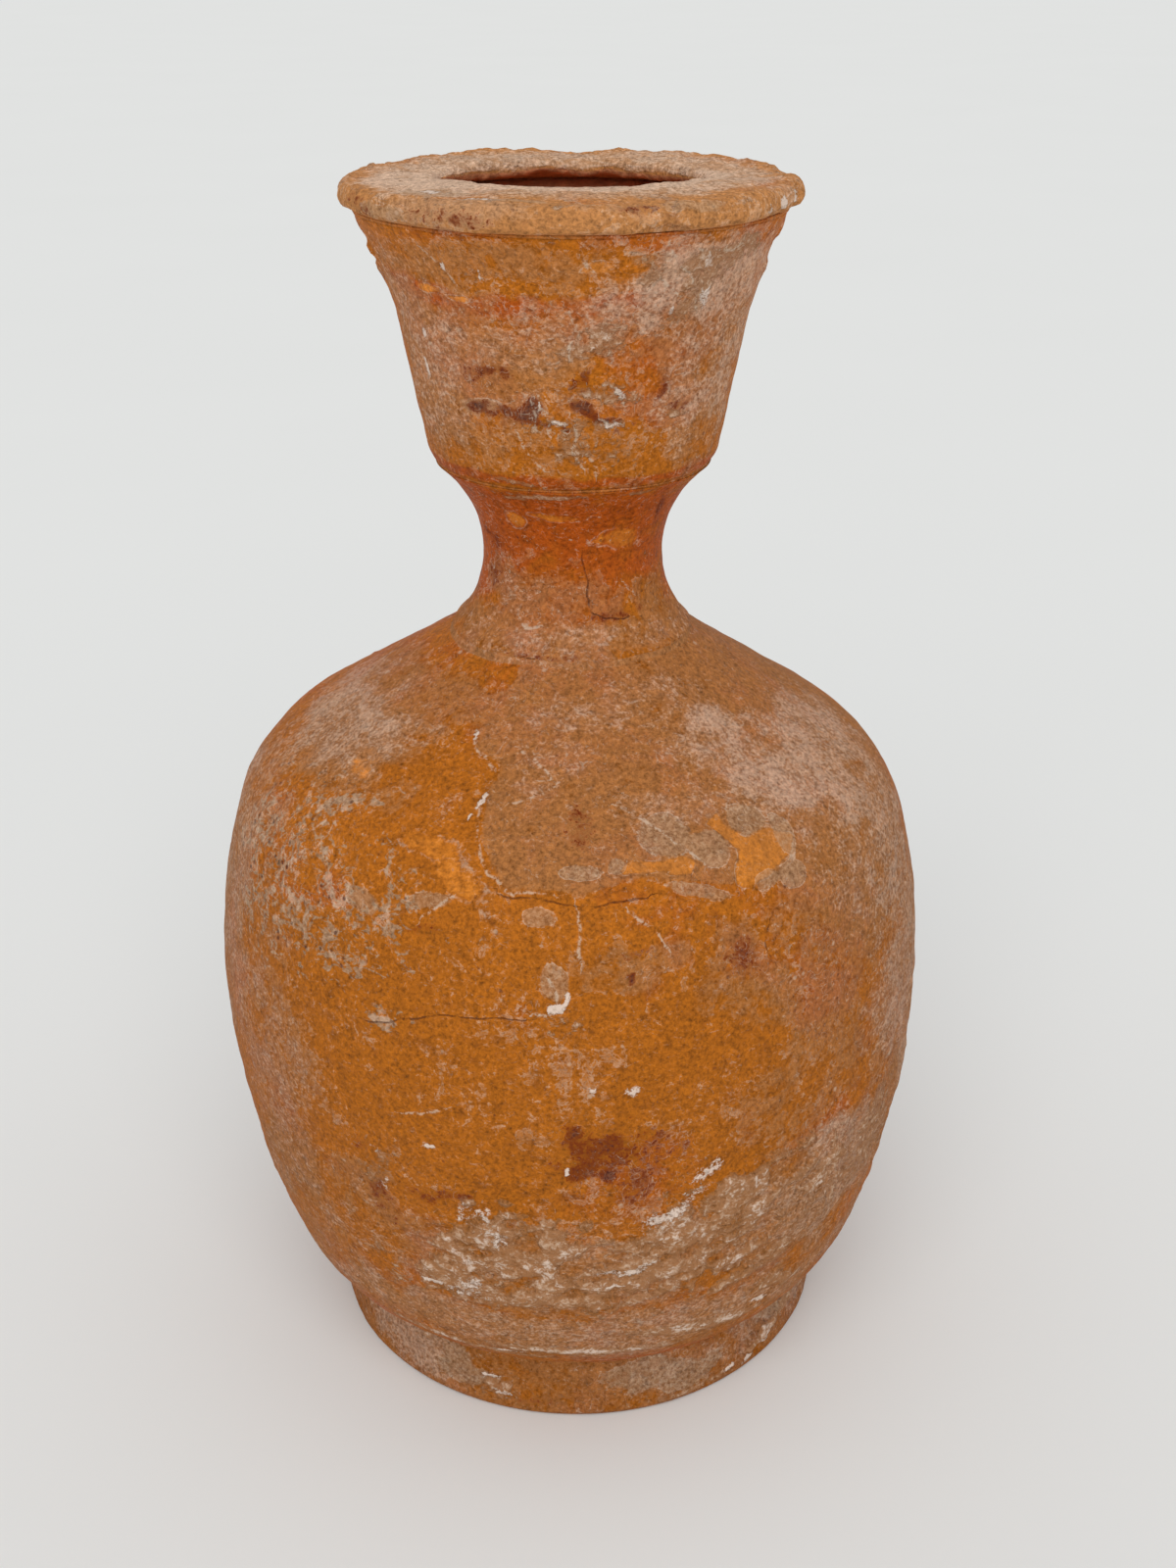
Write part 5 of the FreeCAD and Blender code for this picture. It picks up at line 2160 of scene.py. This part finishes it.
@dataclass
class Deposits(Part):
    """Lime crust on the lower belly and on the foot."""

    wall: Wall
    foot: Foot
    rise: float = 1.0
    sink: float = 0.9
    grid: float = 0.45
    lumps = Grain(97)
    tooth = Grain(101)

    shoe: Marks = marks(
        (50, 4.4, 5, 1.6, 20), (60, 6, 5, 2, 16), (68, 6.8, 3, 1.8, 0),
    )

    def build(self) -> None:
        """Make both crusts."""
        vessel = Vessel(self.finishes, self.wall)
        belly_face = self.belly_face()
        foot_face = Face(
            ((self.foot.outer(0.0), 0.0), (self.foot.outer(self.wall.foot_top), self.wall.foot_top))
        )
        skin = self.patch("belly_lime", belly_face, (-32.0, 50.0), (27.0, 57.5))
        vessel.wear(skin, 1.0, Field.PALE, Field.DUST)
        vessel.tint(skin, 1.0)
        self.raise_lime(skin, Hand.crust(skin), 0.62)
        self.settle(skin, "body_crust", "lime_crust")
        skin = self.patch("foot_lime", foot_face, (40.0, 74.0), (2.0, 9.6))
        self.foot.wear(skin, 1.0, Field.PALE, Field.GREY, Field.DUST)
        lumps = self.lumps.layered(skin.points, 3.0, 3) * 0.30
        self.raise_lime(skin, smooth(0.30, 0.95, skin.cover(self.shoe) + lumps), 0.40)
        self.settle(skin, "foot_crust", "lime_crust")

    def belly_face(self) -> Face:
        """The body's wall below the shoulder."""
        outline = Outline(self.wall.base[0], self.wall.foot_top)
        self.wall.climb(outline, 1.0)
        return Face(tuple(outline.points[1:]))

    def patch(self, name: str, face: Face, azimuths: Point, heights: Point) -> Skin:
        """Lay a closed grid on a wall, its back at the same place as its front.

        Args:
            name: The piece's name.
            face: The wall.
            azimuths: The patch's first and last azimuth.
            heights: The patch's lowest and highest height.

        Returns:
            The patch's vertices, with the wall's normals.
        """
        widest = float(face.radius_at(heights[1]))
        around = math.radians(azimuths[1] - azimuths[0]) * widest
        tall = heights[1] - heights[0]
        piece = Bench.grid(name, round(around / self.grid), round(tall / self.grid))
        Bench.thicken(piece)
        mesh = piece.data
        flat = np.empty(len(mesh.vertices) * 3)
        mesh.vertices.foreach_get("co", flat)
        flat = flat.reshape(-1, 3)
        azimuth = azimuths[0] + (flat[:, 0] + 0.5) * (azimuths[1] - azimuths[0])
        height = heights[0] + (flat[:, 2] + 0.5) * tall
        radius = face.radius_at(height)
        turn = np.radians(azimuth)
        points = np.column_stack((radius * np.sin(turn), -radius * np.cos(turn), height))
        mesh.vertices.foreach_set("co", (points * MM).ravel())
        mesh.update()
        skin = Skin(piece, face)
        slope = face.radius_at(height + 0.5) - face.radius_at(height - 0.5)
        normals = np.column_stack((np.sin(turn), -np.cos(turn), -slope))
        skin.normals = normals / np.linalg.norm(normals, axis=1)[:, None]
        edges = np.minimum((0.5 - np.abs(flat[:, 0])) * around, (0.5 - np.abs(flat[:, 2])) * tall)
        half_way = (flat[:, 1].min() + flat[:, 1].max()) / 2
        skin.on_front = (flat[:, 1] < half_way) & (edges > self.grid * 1.5)
        return skin

    def raise_lime(self, skin: Skin, cover: np.ndarray, level: float) -> None:
        """Raise a patch where the lime is thick, and sink the rest of it into the wall.

        Args:
            skin: The patch's vertices.
            cover: How much lime covers each of them.
            level: The cover at which the patch comes out of the wall.
        """
        grains = self.tooth.layered(skin.points, 1.6, 3) * 0.22
        amount = (cover - level) * self.rise + grains * smooth(level, level + 0.3, cover)
        amount = amount + Hand.relief(skin, 1.0) + cover * 0.34
        skin.carry(Field.LIME, cover * 1.05 - 0.37)
        skin.carry(Field.FILM, cover * 0.3 + 0.36)
        skin.lift(np.where(skin.on_front, amount, -self.sink))


@dataclass
class Studio:
    """The pale sheet, the soft light and the camera."""

    eye: tuple[float, float, float] = (2.2, -257.4, 211.2)
    pitch: float = 25.2
    lens: float = 42.32
    sheet: float = 40000.0
    room: Colour = (0.62, 0.625, 0.63)
    lamp_power: float = 1.35
    lamp_width: float = 55.0
    lamp_tilt: tuple[float, float, float] = (48.0, -3.0, 0.0)

    def build(self) -> None:
        """Set up everything round the flask."""
        self.lay_sheet(Paper("pale_sheet").build())
        self.light()
        self.aim()

    def lay_sheet(self, paper: bpy.types.Material) -> None:
        """Lay the sheet that the flask stands on.

        Args:
            paper: The sheet's material.
        """
        Bench.clear()
        bpy.ops.mesh.primitive_plane_add(size=self.sheet * MM)
        sheet = bpy.context.object
        sheet.name = "floor_sheet"
        with Bench.editing():
            bpy.ops.mesh.subdivide(number_cuts=2)
        sheet.data.materials.append(paper)
        sheet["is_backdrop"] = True
        Bench.clear()

    def light(self) -> None:
        """Hang one wide soft lamp, and set the even light of the room."""
        bpy.ops.object.light_add(type="SUN", location=(0.0, 0.0, 2.0))
        lamp = bpy.context.object
        lamp.name = "soft_lamp"
        lamp.data.energy = self.lamp_power
        lamp.data.angle = math.radians(self.lamp_width)
        lamp.rotation_euler = tuple(math.radians(angle) for angle in self.lamp_tilt)
        scene = bpy.context.scene
        scene.world = scene.world or bpy.data.worlds.new("room")
        scene.world.use_nodes = True
        background = scene.world.node_tree.nodes["Background"]
        background.inputs["Color"].default_value = (*self.room, 1.0)
        background.inputs["Strength"].default_value = 1.0
        scene.view_settings.view_transform = "Standard"

    def aim(self) -> None:
        """Place the camera."""
        place = tuple(value * MM for value in self.eye)
        bpy.ops.object.camera_add(location=place)
        camera = bpy.context.object
        camera.name = "photo_camera"
        camera.rotation_euler = (math.radians(90.0 - self.pitch), 0.0, 0.0)
        camera.data.lens = self.lens
        camera.data.sensor_width = 36.0
        camera.data.clip_start = 0.01
        camera.data.clip_end = 60.0
        bpy.context.scene.camera = camera


def rows(box: tuple) -> list[list[float]]:
    """A box's two corners as plain lists."""
    return [[float(value) for value in corner] for corner in box]


def main() -> None:
    """Build the flask piece by piece, then what stands round it."""
    logging.basicConfig(level=logging.INFO, format="%(message)s")
    worn = Clay(
        "worn_clay_look",
        slip=(0.480, 0.205, 0.066),
        slip_red=(0.430, 0.140, 0.034),
        slip_brown=(0.240, 0.090, 0.030),
        skin=(0.440, 0.250, 0.140),
        dust=(0.720, 0.540, 0.410),
        roughness=0.8,
        wiped=(0.30, 0.30, 1.5),
    )
    pressed = (0.420, 0.150, 0.035)
    finishes = {
        "slipped_clay": Clay("slipped_clay_look").build(),
        "worn_clay": worn.build(),
        "joint_slip": Clay(
            "joint_slip_look", slip=pressed, skin_more=0.3, roughness=0.75
        ).build(),
        "lime_crust": Clay(
            "lime_crust_look", skin_more=0.45, lime_more=0.10, roughness=0.85
        ).build(),
    }
    wall = Wall()
    foot = Foot(finishes, wall)
    foot.build()
    Vessel(finishes, wall).build()
    Neck(finishes, wall).build()
    Cup(finishes).build()
    Rim(finishes).build()
    Deposits(finishes, wall, foot).build()
    Studio().build()
    {"cad": rows(CAD_BOX), "visual": rows(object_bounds())}


if __name__ == "__main__":
    main()
